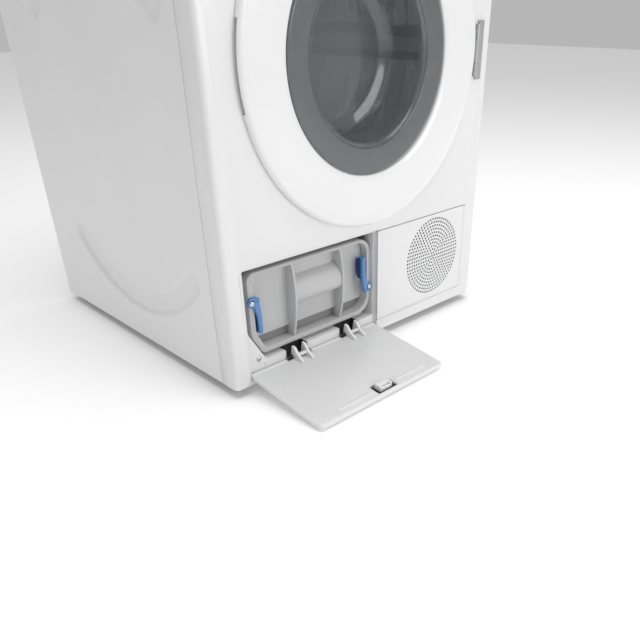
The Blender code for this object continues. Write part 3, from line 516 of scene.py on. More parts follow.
def swept(name, path, profile):
    """A closed profile of (distance left of the path, depth behind the front) along an open path in XZ."""
    points = [Vector(p) for p in path]
    sections = []
    for i, point in enumerate(points):
        ahead = (points[min(i + 1, len(points) - 1)] - point).normalized() if i < len(points) - 1 else None
        behind = (point - points[max(i - 1, 0)]).normalized() if i else ahead
        ahead = ahead or behind
        normal = Vector((-ahead.y - behind.y, ahead.x + behind.x)).normalized()
        stretch = 1 / max(0.3, normal.dot(Vector((-ahead.y, ahead.x))))
        sections.append([(point.x + normal.x * o * stretch, FRONT + d, point.y + normal.y * o * stretch)
                         for o, d in profile])
    bm = bmesh.new()
    rings = [[bm.verts.new(v) for v in section] for section in sections]
    for one, two in zip(rings, rings[1:]):
        for i in range(len(profile)):
            j = (i + 1) % len(profile)
            bm.faces.new((one[i], two[i], two[j], one[j]))
    bm.faces.new(rings[0])
    bm.faces.new(rings[-1][::-1])
    mesh = bpy.data.meshes.new(name)
    bm.to_mesh(mesh)
    bm.free()
    obj = bpy.data.objects.new(name, mesh)
    bpy.context.scene.collection.objects.link(obj)
    return shade(tidy(obj))


def front_sheet():
    sheet = plate("front_sheet", [wrap_loop(SHEET)], (BASE, PANEL - SEAM), "XY", edge=0.0005)
    opening = lathe("opening", [(0, FRONT - 0.02), (0.206, FRONT - 0.02), (0.206, FRONT + 0.02),
                                (0, FRONT + 0.02)], (0, DOOR_Z))
    left, top = RECESS_X[0] - BEND, FLAP_TOP + BEND
    service = [(left, SILL), (RECESS_X[1], SILL), (RECESS_X[1], GRILLE_LOW), (GRILLE_RIGHT, GRILLE_LOW),
               (GRILLE_RIGHT, KICK + SEAM),
               (RECESS_X[1] + 0.0010, KICK + SEAM), (RECESS_X[1] + 0.0010, top)]
    service += arc((left + 0.0110, top - 0.0110), 0.0110, 90, 180, 8)
    sheet = cut(sheet, opening, prism("service", service, deep(-0.01, 0.005)), edge=0.0004)
    bend = [(BEND * (1 - math.sin(math.radians(a))), BEND * (1 - math.cos(math.radians(a))))
            for a in range(0, 91, 10)]
    inner = [(BEND - (BEND - 0.0012) * math.sin(math.radians(a)),
              BEND - (BEND - 0.0012) * math.cos(math.radians(a)))
             for a in range(90, -1, -10)]
    path = [(RECESS_X[0], SILL), (RECESS_X[0], FLAP_TOP - 0.0058)]
    path += arc((RECESS_X[0] + 0.0058, FLAP_TOP - 0.0058), 0.0058, 180, 90,
                8) + [(RECESS_X[1] + 0.0004, FLAP_TOP)]
    side_lip = swept("recess_bend", path,
                     bend + [(0, RECESS_FACE - 0.0002), (0.0012, RECESS_FACE - 0.0002)] + inner)
    tray = block("recess_ceiling", (RECESS_X[0] + 0.0040, RECESS_X[1] + 0.0004), deep(0.0060, 0.0195),
                 (FLAP_TOP, FLAP_TOP + 0.0014), 0.0003)
    place(joined("front_sheet", [sheet, side_lip, tray]), "cabinet", "cabinet_paint", "front_panel")

    # Black strips behind the side seams and black bands at the seams under the control panel and under the
    # worktop: painted shade that makes the seam gaps read dark.
    seam_shades = []
    for side in (-1, 1):
        edge = sorted((side * (HALF - 0.0014), side * (HALF - 0.0030)))
        seam_shades.append(block(f"seam_shade_strip_{side}", edge, (FOLD - 0.0030, FOLD + 0.0036),
                             (BASE + 0.001, LID - 0.001), 0.0003))
    for number, z in enumerate((PANEL - SEAM / 2, LID - SEAM / 2)):
        loop = [(x * (HALF - 0.0018) / HALF, y + 0.0016 if y < FRONT + 0.02 else y) for x,
                y in wrap_loop(0.0012)]
        seam_shades.append(plate(f"seam_shade_band_{number}", [loop], (z - 0.0030, z + 0.0030 if number == 0 else z),
                             "XY", edge=0.0002, segments=1))
    place(joined("seam_shade_strips", seam_shades), "cabinet", "rubber")


def worktop():
    outline = rounded((-HALF, HALF), (FRONT, BACK), (CORNER, CORNER, 0.006, 0.006), 12)
    top = plate("worktop", [outline], (LID, TOP), "XY", edge=0.0040, segments=5)
    hollow = prism("hollow", rectangle((-HALF + 0.024, HALF - 0.024), (FRONT + 0.024, BACK - 0.024)),
                   (LID - 0.01, TOP - 0.0045), "XY")
    place(cut(top, hollow), "cabinet", "cabinet_paint", "top_panel")
    groove = rounded((-HALF + 0.012, HALF - 0.012), (FRONT + 0.012, BACK - 0.012),
                     (0.014, 0.014, 0.004, 0.004), 10)
    line = plate("worktop_shadow_gap", [groove, rectangle((-0.27, 0.27), (FRONT + 0.03, BACK - 0.03))],
                 (LID - 0.0005, LID + 0.0002), "XY", edge=0.0001, segments=0)
    place(line, "cabinet", "black_plastic")


def rear_sheet():
    low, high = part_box("rear_panel")
    slots = [rounded((x - 0.030, x + 0.030), (z, z + 0.005), (0.0024,) * 4, 3)
             for x in (-0.16, 0.16) for z in (0.10 + 0.014 * i for i in range(6))]
    gland = circle((0.22, 0.70), 0.0108, 32)
    sheet = plate("rear_sheet", [rectangle((low.x, high.x), (low.z, high.z)), gland, *slots],
                  (low.y, high.y), edge=0.0003)
    place(sheet, "cabinet", "zinc_steel", "rear_panel")
    beads = []
    for number, loop in enumerate(((0.050, 0.250, 0.010), (-0.250, -0.050, 0.010))):
        path = rounded((loop[0], loop[1]), (0.24, 0.62), (0.03,) * 4, 8)
        points = [(u, high.y, v) for u, v in path] + [(path[0][0], high.y, path[0][1])]
        beads.append(tube(f"rear_bead_{number}", points, 0.0014, 3))
    drum_mark = [(x, high.y, z) for x, z in circle((0, DRUM.z), 0.045, 48)]
    beads.append(tube("rear_bead_hub", drum_mark + drum_mark[:1], 0.0016, 3))
    place(joined("rear_beads", beads), "cabinet", "zinc_steel")
    screws = []
    for x in (-0.285, 0.285):
        for z in (0.05, 0.30, 0.55, 0.80):
            screws.append(screw_head(f"rear_screw_{x}_{z}", (x, z), high.y, 0.0040, 0.0016, 1))
    place(joined("rear_screws", screws), "cabinet", "bright_steel")


def screw_head(name, centre, face, radius, height, side=-1, slot=True):
    """A pan head with a slot, standing off a face; side -1 stands towards the front."""
    profile = [(0, face + side * height), (radius * 0.55, face + side * height),
               (radius * 0.85, face + side * height * 0.75),
               (radius, face + side * height * 0.25), (radius, face - side * 0.0003),
               (0, face - side * 0.0003)]
    head = lathe(name, soften(profile, height * 0.3, closed=False, steps=3), centre, steps=32)
    if not slot:
        return head
    turn = math.radians(30)
    along, across = Vector((math.cos(turn), math.sin(turn))), Vector((-math.sin(turn), math.cos(turn)))
    middle = Vector(centre)
    reach, half = radius * 1.2, radius * 0.14
    loop = [tuple(middle + along * a * reach + across * b * half) for a,
            b in ((-1, -1), (1, -1), (1, 1), (-1, 1))]
    span = sorted((face + side * height * 0.45, face + side * height * 2))
    return cut(head, prism(name + "_slot", loop, span))


# --- plinth, recess and grille ----------------------------------------------------------------------------
def pockets():
    return [((a + b) / 2 - POCKET_HALF, (a + b) / 2 + POCKET_HALF) for a, b in ARM_X]


def service_frame():
    body = block("recess_block", (RECESS_X[0] - WALL, RECESS_X[1]), deep(SHEET + 0.0004, BLOCK_BACK),
                 (BASE + 0.0006, FLAP_TOP - 0.0006), 0.0002)
    border = block("grille_border", (RECESS_X[1] - 0.002, GRILLE_RIGHT + WALL), deep(0.0027, 0.0065),
                   (BASE + 0.0007, FLAP_TOP - 0.0007), 0.0002)
    space = prism("space", rounded((RECESS_X[0], RECESS_X[1] - 0.0003), (SILL, 0.23), (0.005, 0.003, 0, 0)),
                  deep(-0.02, RECESS_FACE))
    window = prism("window", rectangle((RECESS_X[1] + 0.004, GRILLE_RIGHT - 0.004),
                                       (GRILLE_LOW + 0.004, 0.1980)), deep(-0.02, 0.015))
    body = cut(unite(body, border), space, window, edge=0.0009, segments=3, limit=60)
    mouth = [(MOUTH_X[0], 0.100), (-0.2310, 0.047), (MOUTH_X[1], 0.047), (MOUTH_X[1], 0.23),
             (MOUTH_X[0], 0.23)]
    tools = [prism("mouth", soften(mouth, 0.005, steps=3), deep(-0.02, 0.04)),
             lathe("screw_hole", [(0, FRONT - 0.01), (0.0021, FRONT - 0.01), (0.0021, FRONT + 0.02),
                                  (0, FRONT + 0.02)], (-0.246, 0.052), steps=24)]
    for number, (left, right) in enumerate(pockets()):
        tools.append(prism(f"pocket_{number}", rounded((left, right), (SILL + 0.0002, 0.060), (0.002,) * 4,
                                                       3), deep(-0.02, BLOCK_BACK - WALL)))
    body = cut(body, *tools, edge=0.0005, segments=2, limit=60)
    place(body, "cabinet", "white_plastic", "service_frame")

    # Black sheets on the pockets' back and side walls are painted shade in the pockets; the ears and sleeves round
    # the pins are hinge parts in the same black.
    pocket_shades_and_pins = []
    for number, (left, right) in enumerate(pockets()):
        floor_z = (SILL + 0.0004, 0.047)
        pocket_shades_and_pins.append(block(f"pocket_shade_back_{number}", (left + 0.0003, right - 0.0003),
                             deep(BLOCK_BACK - WALL - 0.0012, BLOCK_BACK - WALL - 0.0002), floor_z, 0.0002))
        for side, x in ((1, left), (-1, right)):
            pocket_shades_and_pins.append(block(f"pocket_shade_side_{number}_{side}",
                                 sorted((x + side * 0.0002, x + side * 0.0008)),
                                 deep(0.0120, BLOCK_BACK - WALL - 0.0008), floor_z, 0.0001))
            pocket_shades_and_pins.append(plate(f"pin_ear_{number}_{side}", [ear_loop()],
                                 sorted((x - side * 0.0005, x + side * 0.003)), "YZ", edge=0.0006))
            sleeve = [(0.0017, 0.0), (0.0040, 0.0), (0.0040, 0.0062), (0.0034, 0.0068), (0.0017, 0.0068)]
            shift = x + side * 0.0032
            pocket_shades_and_pins.append(lathe(f"pin_sleeve_{number}_{side}", [(r, shift + side * h) for r, h in sleeve],
                                 (HINGE.y, HINGE.z), axis="X", steps=32, closed=True))
    place(joined("hinge_pocket_shades_and_pins", pocket_shades_and_pins), "cabinet", "black_plastic")

    head = screw_head("recess_screw", (-0.246, 0.052), FRONT + RECESS_FACE, 0.0046, 0.0021)
    place(head, "cabinet", "bright_steel", "frame_screw")
    bump = lathe("recess_bump", soften([(0, FRONT + 0.0070), (0.0018, FRONT + 0.0070),
                                        (0.0024, FRONT + 0.0088), (0, FRONT + 0.0088)],
                                       0.0004, closed=False), (-0.2345, 0.0415), steps=24)
    place(bump, "cabinet", "white_plastic")


def ear_loop():
    nose = arc((HINGE.y, HINGE.z), 0.0034, 90, 270, 10)
    back = FRONT + RECESS_FACE + 0.004
    return nose + [(back, HINGE.z - 0.0034), (back, HINGE.z + 0.0034)]


def grille():
    outline = rounded((0.0187, GRILLE_RIGHT - 0.0008), (GRILLE_LOW + 0.0008, KICK - SEAM),
                      (0.004, 0.004, 0.002, 0.002))
    holes = [circle((GRILLE_X, GRILLE_Z), HOLE_RADIUS, 12)]
    for ring in range(1, RINGS + 1):
        for k in range(6 * ring):
            a = 2 * math.pi * k / (6 * ring)
            spot = (GRILLE_X + ring * HOLE_PITCH * math.cos(a), GRILLE_Z + ring * HOLE_PITCH * math.sin(a))
            holes.append(circle(spot, HOLE_RADIUS, 12))
    insert = plate("grille_insert", [outline, *holes], deep(-0.0002, 0.0014), edge=0.0002, segments=1)
    strip = block("insert_strip", (0.0189, 0.0236), deep(-0.0008, 0.0015), (0.0384, KICK - SEAM - 0.0004),
                  0.0008)
    ledge = block("insert_ledge", (0.0240, GRILLE_RIGHT - 0.0012), deep(-0.0009, 0.0010),
                  (GRILLE_LOW + 0.0012, GRILLE_LOW + 0.0042), 0.0008)
    rail = block("insert_rail", (GRILLE_RIGHT - 0.0042, GRILLE_RIGHT - 0.0012), deep(-0.0009, 0.0010),
                 (GRILLE_LOW + 0.0046, KICK - SEAM - 0.0008), 0.0008)
    place(joined("grille_insert", [insert, strip, ledge, rail]), "cabinet", "white_plastic", "grille_panel")
    # A black disc behind the holes: painted shade that makes the holes read dark.
    hole_shade = lathe("grille_hole_shade", soften([(0, FRONT + 0.0070), (0.0765, FRONT + 0.0070),
                                          (0.0765, FRONT + 0.0082), (0, FRONT + 0.0082)],
                                         0.0004, closed=False), (GRILLE_X, GRILLE_Z), steps=64)
    place(hole_shade, "cabinet", "black_plastic")


# --- flap -------------------------------------------------------------------------------------------------
def on_flap(obj):
    obj.data.transform(Matrix.Translation(HINGE - Vector((HINGE.x, 0, 0))) @ Matrix.Rotation(FLAP_TILT, 4,
                                                                                             "X"))
    return obj


def flap():
    outline = [(FLAP_X[0], 0.0)]
    outline += arc((FLAP_X[0] + 0.007, -FLAP_LENGTH + 0.007), 0.007, 180, 270, 8)
    outline += arc((FLAP_X[1] - 0.007, -FLAP_LENGTH + 0.007), 0.007, 270, 360, 8)
    outline.append((FLAP_X[1], 0.0))
    for left, right in reversed(pockets()):
        for corner in ((right + 0.003, 0.0), (right + 0.003, -0.0065), (left - 0.003, -0.0065),
                       (left - 0.003, 0.0)):
            outline.append(corner)
    panel = plate("flap_skin", [outline], (-0.0080, 0.0), "XY", edge=0.0016, segments=4)
    slot = prism("slot", rounded((-0.141, -0.097), (-0.1655, -0.1425), (0.002,) * 4, 4), (-0.0035, 0.01),
                 "XY")
    panel = cut(panel, slot, edge=0.0004, limit=60)
    place(on_flap(panel), "flap", "white_plastic", "flap_panel")
    inset = 0.0022
    liner = [(FLAP_X[0] + inset, -0.0075)]
    liner += arc((FLAP_X[0] + inset + 0.005, -FLAP_LENGTH + inset + 0.005), 0.005, 180, 270, 8)
    liner += arc((FLAP_X[1] - inset - 0.005, -FLAP_LENGTH + inset + 0.005), 0.005, 270, 360, 8)
    liner.append((FLAP_X[1] - inset, -0.0075))
    hole = rounded((-0.1412, -0.0968), (-0.1657, -0.1423), (0.002,) * 4, 4)
    face = plate("flap_liner", [liner, hole], (-0.0010, 0.0002), "XY", edge=0.0002, segments=1)
    place(on_flap(face), "flap", "pale_plastic")

    details = []
    for number, (x0, x1, along) in enumerate(((-0.221, -0.146, -0.1572), (-0.090, -0.024, -0.1552))):
        rod = tube(f"flap_bar_{number}",
                   [(x0, along, 0.0004), ((x0 + x1) / 2, along, 0.0004), (x1, along, 0.0004)], 0.0022, 5)
        tail = tube(f"flap_bar_tail_{number}",
                    [(x0 + 0.003, along - 0.0032, 0.0), (x1 - 0.003, along - 0.0032, 0.0)], 0.0009, 3)
        details += [rod, tail]
    place(on_flap(joined("flap_bars", details)), "flap", "white_plastic")
    bosses = []
    for number, (x, y, radius) in enumerate(((-0.251, -0.155, 0.0052), (-0.004, -0.152, 0.0040),
                                             (-0.251, -0.055, 0.0022),
                                            (-0.241, -0.059, 0.0022), (0.000, -0.030, 0.0022))):
        ring = [(radius - 0.0013, -0.0002), (radius - 0.0013, 0.0005), (radius, 0.0007),
                (radius + 0.0010, 0.0002), (radius + 0.0010, -0.0002)]
        bosses.append(lathe(f"flap_boss_{number}", ring, (x, y), axis="Z", steps=40, closed=True))
    place(on_flap(joined("flap_bosses", bosses)), "flap", "pale_plastic")

    low, high = -0.1340, -0.1050
    body = plate("catch_block", [rounded((low, high), (-0.1560, -0.1467), (0.0012,) * 4, 4)],
                 (-0.0028, 0.0068), "XY", edge=0.0014, segments=3)
    lip = plate("catch_lip", [rounded((low + 0.0045, high - 0.0045), (-0.1612, -0.1578), (0.0008,) * 4, 4)],
                (-0.0028, 0.0034), "XY", edge=0.0006)
    web = plate("catch_web", [rectangle((low + 0.001, high - 0.001), (-0.1600, -0.1552))],
                (-0.0028, 0.0008), "XY", edge=0.0003)
    ends = []
    for number, x in enumerate((low + 0.0030, high - 0.0030)):
        profile = soften([(0, -0.0028), (0.0026, -0.0028), (0.0026, 0.0058), (0, 0.0058)], 0.0008,
                         closed=False)
        ends.append(lathe(f"catch_end_{number}", profile, (x, -0.1585), axis="Z", steps=32))
    place(on_flap(joined("catch", [body, lip, web, *ends])), "flap_catch", "white_plastic", "flap_latch")
    # A black sheet on the slot's floor: painted shade in the slot.
    slot_shade = plate("catch_slot_shade", [rounded((-0.1405, -0.0975), (-0.1650, -0.1430), (0.0018,) * 4, 4)],
                    (-0.0034, -0.0031), "XY", edge=0.0001, segments=0)
    place(on_flap(slot_shade), "flap", "black_plastic")
    for name, pair in zip(("left", "right"), ARM_X):
        arms(name, pair)


def arms(name, pair):
    foot = [(-0.0072, 0.0001), (-0.0262, 0.0001), (-0.0252, 0.0042), (-0.0125, 0.0098), (-0.0042, 0.0180),
            (-0.0030, 0.0190), (0.0028, 0.0190)]
    outline = soften(foot, 0.0012, closed=False, steps=3) + arc((0, 0), 0.0040, 0, -180, 12)
    parts = []
    for number, x in enumerate(pair):
        parts.append(plate(f"arm_{name}_{number}", [outline, circle((0, 0), 0.0018, 24)],
                           (x - 0.0025, x + 0.0025), "YZ", edge=0.0007))
    parts.append(block(f"arm_tie_{name}", pair, (-0.0128, -0.0072), (0.0052, 0.0092), 0.0008))
    place(on_flap(joined(f"flap_arms_{name}_skin", parts)), "flap", "white_plastic", f"flap_arms_{name}")


# --- heat exchanger cassette ------------------------------------------------------------------------------
def cover_loop(inset, lift=0.0, fine=10):
    x0, x1 = COVER_X[0] + inset, COVER_X[1] - inset
    z0, z1 = COVER_Z[0] + inset, COVER_Z[1] - inset + lift
    slope, rise = 0.020 - 0.4 * inset, 0.034 - 0.4 * inset
    points = soften([(x0, z1 - 0.03), (x0, z0 + rise), (x0 + slope, z0), (x1 - 0.04, z0)], 0.006,
                    closed=False, steps=5)[1:-1]
    shrink = inset * 0.8
    points += arc((x1 - 0.034 + shrink, z0 + 0.034 - shrink), 0.034 - shrink, 270, 360, fine)
    points += arc((x1 - 0.028 + shrink, z1 - 0.028 + shrink), 0.028 - shrink, 0, 90, fine)
    points += arc((x0 + 0.014 - shrink / 2, z1 - 0.014 + shrink / 2), 0.014 - shrink / 2, 90, 180, fine)
    return points


def cassette():
    """A rolled rim, a panel, and the well that shows below the panel's lower edge, coloured a darker grey as
    painted shade.
    """
    rim = plate("cover_rim", [cover_loop(0)], deep(COVER_FRONT, COVER_BACK), edge=0.0026, segments=5)
    dish = prism("dish", cover_loop(RIM, RIM - RIM_TOP), deep(0, WELL))
    cover = cut(rim, dish, edge=0.0014, segments=3, limit=60)
    ridge = [cover_loop(inset, (1 - RIM_TOP / RIM) * inset) for inset in (0.0040, 0.0052)]
    crease = plate("cover_crease", ridge, deep(COVER_FRONT - 0.0006, COVER_FRONT + 0.0020), edge=0.0003)
    front = [(0.0600, 0.0180), (0.0700, 0.0150), (0.0850, 0.0115), (0.1050, 0.0085), (0.1250, 0.0070),
             (0.1450, 0.0068), (0.1640, 0.0088),
             (0.1780, 0.0115), (0.1880, 0.0150)]
    edge = [(FRONT + d, z) for z, d in smooth_path(front, 5)]
    loop = edge + [(FRONT + 0.0325, 0.1880), (FRONT + 0.0337, 0.0600)]
    ribs = [plate(f"cover_rib_{k}", [loop], (x - 0.0020, x + 0.0020), "YZ", edge=0.0008, segments=3) for k,
            x in enumerate(RIB_X)]
    grip = [(PANEL_FACE + 0.0008, 0.1640), (0.0240, 0.1610), (0.0160, 0.1545), (0.0105, 0.1450),
            (0.0088, 0.1350), (0.0098, 0.1270), (0.0135, 0.1213),
            (0.0160, 0.1203), (0.0185, 0.1222), (0.0220, 0.1300), (PANEL_FACE + 0.0008, 0.1360)]
    bar = [(FRONT + d, z) for d, z in smooth_path(grip, 5)]
    handle = plate("cover_grip", [bar], (RIB_X[0] + 0.0012, RIB_X[1] - 0.0012), "YZ", edge=0.0002,
                   segments=1)
    place(joined("cover_shell", [cover, crease, *ribs, handle]), "exchanger", "grey_plastic",
          "exchanger_cover")

    inner = cover_loop(RIM + 0.0002, RIM - RIM_TOP)
    shield = [(u, max(v, PANEL_LOW)) for u, v in inner]
    panel = plate("cover_panel", [shield], deep(PANEL_FACE, PANEL_FACE + 0.0022), edge=0.0006, segments=3)
    place(panel, "exchanger", "grey_plastic")
    # The well's back in a darker grey copy of the moulding: painted shade under the panel's lower edge.
    well = plate("cover_well_painted_shade", [[(u, min(v, PANEL_LOW + 0.004)) for u, v in inner]],
                 deep(WELL - 0.0004, WELL + 0.0002), edge=0.0001, segments=0)
    place(well, "exchanger", "grey_plastic")
    well.data.materials[0] = WELL_PAINTED_SHADE

    ring = plate("cover_gasket", [core_loop(0.0005), core_loop(0.0057)],
                 deep(COVER_BACK + 0.0003, COVER_BACK + 0.0060), edge=0.0008)
    place(ring, "exchanger", "rubber", "exchanger_seal")
    slot = plate("cover_corner_slot", [soften([(-0.2370, 0.0690), (-0.2300, 0.0630), (-0.2260, 0.0665),
                                               (-0.2345, 0.0750)], 0.0012)],
                 deep(COVER_FRONT - 0.0004, COVER_FRONT + 0.001), edge=0.0003)
    hub = lathe("cover_corner_boss", soften([(0, 0.0128), (0.0022, 0.0128), (0.0030, 0.0145), (0, 0.0145)],
                                            0.0005, closed=False), (-0.2405, 0.1790), steps=32)
    hub.data.transform(Matrix.Translation((0, FRONT, 0)))
    place(joined("cover_marks", [slot, hub]), "exchanger", "grey_plastic")
    lever("left", -1, 0.055)
    lever("right", 1, 0.058)


def core_loop(inset):
    drop = COVER_Z[1] - CORE_TOP
    return cover_loop(inset, -drop)


def lever(side, up, reach):
    """A locking lever: a head with a slotted screw and a deep blade, up (1) or down (-1); a thin dark navy sheet
    on the blade's side is painted shade standing for a hollow.
    """
    spot = pivot(f"lock_{side}_turn")
    away = 1 if up < 0 else -1
    near, far = spot.x + away * 0.0092, spot.x + away * 0.0166
    heel, tip = spot.z - up * 0.0090, spot.z + up * reach
    front = [(spot.x - away * 0.0040, spot.z - up * 0.0085), (far - away * 0.0045, heel),
             (far - away * 0.0012, spot.z + up * 0.0100),
             (far, spot.z + up * 0.0250), (far, tip - up * 0.0040), (far - away * 0.0030, tip),
             (near + away * 0.0010, tip - up * 0.0020),
             (near, spot.z + up * 0.0260), (near - away * 0.0045, spot.z + up * 0.0085),
             (spot.x - away * 0.0060, spot.z + up * 0.0030)]
    skin = plate(f"lever_face_{side}", [soften(front, 0.0028)], deep(0.0078, 0.0137), edge=0.0010,
                 segments=3)
    path = [(0.0110, 0.0), (0.0110, 0.92), (0.0150, 1.0), (0.0240, 0.95), (0.0268, 0.80), (0.0268, 0.30),
            (0.0235, 0.06), (0.0180, 0.0)]
    root, top = spot.z + up * 0.0150, tip - up * 0.0010
    loop = soften([(FRONT + d, root + (top - root) * share) for d, share in path], 0.0022, steps=4)
    lower, upper = sorted((near + away * 0.0012, far - away * 0.0006))
    blade = plate(f"lever_blade_{side}", [loop], (lower, upper), "YZ", edge=0.0009, segments=3)
    eye = lathe(f"lever_eye_{side}", soften([(0, FRONT + 0.0078), (0.0066, FRONT + 0.0078),
                                             (0.0070, FRONT + 0.0136), (0, FRONT + 0.0136)],
                                            0.0010, closed=False), (spot.x, spot.z), steps=48)
    grips = [block(f"lever_ridge_{side}_{k}", sorted((near, near + away * 0.0050)), deep(0.0070, 0.0084),
                   sorted((heel + up * (0.0016 + 0.0026 * k), heel + up * (0.0028 + 0.0026 * k))), 0.0004)
             for k in range(3)]
    place(joined(f"lever_{side}_skin", [skin, blade, eye, *grips]), f"lock_{side}", "lever_blue",
          f"lever_{side}")
    # A thin dark navy sheet on the blade's side: painted shade standing for a hollow.
    hollow = plate(f"lever_painted_shade_{side}", [soften([(FRONT + d, root + (top - root) * share) for d, share in
                                                    ((0.0130, 0.04), (0.0130, 0.88), (0.0160, 0.94),
                                                     (0.0230, 0.90), (0.0252, 0.78), (0.0252, 0.32),
                                                     (0.0225, 0.08))], 0.002)],
                   (lower - 0.00025, lower + 0.0002), "YZ", edge=0.0001, segments=0)
    place(hollow, f"lock_{side}", "lever_blue")
    hollow.data.materials[0] = LEVER_PAINTED_SHADE
    head = screw_head(f"lever_screw_{side}", (spot.x, spot.z), FRONT + 0.0079, 0.0045, 0.0015)
    place(head, f"lock_{side}", "bright_steel")


# --- door and drum ----------------------------------------------------------------------------------------
def door():
    middle = (0, DOOR_Z)
    ring = [(DOOR_RADIUS, 0.0), (DOOR_RADIUS + 0.0004, -0.0040), (0.2462, -0.0068), (0.2440, -0.0090),
            (0.2400, -0.0102), (0.2368, -0.0101),
            (0.2352, -0.0092), (0.2340, -0.0093), (0.2200, -0.0096), (0.1900, -0.0096), (0.1760, -0.0090),
            (0.1700, -0.0070),
            (0.1668, -0.0046), (0.1660, -0.0006), (0.1680, -0.0006), (0.2440, -0.0006)]
    profile = soften([(r, FRONT + d) for r, d in ring], 0.0008, steps=3)
    rim = lathe("door_face", profile, middle, steps=144, closed=True, angle=math.radians(50))
    grip = prism("grip", rounded((-0.262, -0.226), (DOOR_Z - 0.055, DOOR_Z + 0.055), (0.010,) * 4),
                 deep(-0.0056, 0.002))
    place(cut(rim, grip), "door", "door_plastic", "door_ring")
    inner = [(0.2000, -0.0002), (0.2000, 0.0320), (0.1720, 0.0320), (0.1720, 0.0295), (0.1975, 0.0295),
             (0.1975, 0.0025), (0.1500, 0.0025), (0.1500, -0.0002)]
    place(lathe("door_back", soften([(r, FRONT + d) for r, d in inner], 0.0012, steps=3), middle, steps=128,
                closed=True),
          "door", "pale_plastic", "door_inner_ring")
    bowl = [(0, 0.0720), (0.0900, 0.0720), (0.1060, 0.0660), (0.1120, 0.0560), (0.1190, 0.0000),
            (0.1240, -0.0055), (0.1655, -0.0065), (0.1655, -0.0025),
            (0.1260, -0.0010), (0.1232, 0.0030), (0.1160, 0.0590), (0.1085, 0.0700), (0.0930, 0.0760),
            (0, 0.0760)]
    place(lathe("door_window", soften([(r, FRONT + d) for r, d in bowl], 0.0030, closed=False, steps=4),
                middle, steps=128),
          "door", "glass", "door_glass")
    band = [(0.1250, -0.0009), (0.1640, -0.0018), (0.1640, 0.0000), (0.1260, 0.0004)]
    place(lathe("door_window_band", soften([(r, FRONT + d) for r, d in band], 0.0004, steps=2), middle,
                steps=128, closed=True), "door", "black_plastic")
    seal = [(0.2040, 0.0325), (0.2040, 0.0407), (0.1920, 0.0407), (0.1905, 0.0370), (0.1920, 0.0325)]
    place(lathe("door_gasket", soften([(r, FRONT + d) for r, d in seal], 0.0020, steps=4), middle,
                steps=128, closed=True), "cabinet", "rubber", "door_seal")


def drum():
    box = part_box("drum_shell")
    radius = box[1].x
    front, back = box[0].y, box[1].y
    wall = 0.0012
    shell = [(0, back), (radius - 0.012, back), (radius, back - 0.012), (radius, front + 0.008),
             (radius - 0.008, front), (0.240, front), (0.240, front + wall),
             (radius - 0.009, front + wall), (radius - wall, front + 0.009), (radius - wall, back - 0.012),
             (radius - 0.013, back - wall), (0, back - wall)]
    place(lathe("drum_skin", soften(shell, 0.003, closed=False, steps=3), (0, DRUM.z), steps=128), "drum",
          "drum_steel", "drum_shell")
    beads = []
    for number in range(4):
        y = front + 0.09 + number * 0.085
        points = [(x, y, z) for x, z in circle((0, DRUM.z), radius - wall, 96)]
        beads.append(tube(f"drum_bead_{number}", points + points[:1], 0.0010, 2))
    dots = []
    for ring in range(2, 9):
        for k in range(6 * ring):
            a = 2 * math.pi * k / (6 * ring)
            spot = (ring * 0.022 * math.cos(a), DRUM.z + ring * 0.022 * math.sin(a))
            dots.append(circle(spot, 0.0034, 10))
    place(joined("drum_beads", beads), "drum", "drum_steel")
    plate_back = plate("drum_rear_plate", [circle((0, DRUM.z), 0.195, 96), *dots],
                       (back - wall - 0.0016, back - wall - 0.0006), edge=0.0001, segments=0)
    place(plate_back, "drum", "drum_steel")
    # A black disc behind the perforated rear plate: painted shade that makes the holes read dark.
    dark = plate("drum_rear_hole_shade", [circle((0, DRUM.z), 0.194, 96)],
                 (back - wall - 0.0005, back - wall - 0.0002), edge=0.0001, segments=0)
    place(dark, "drum", "black_plastic")


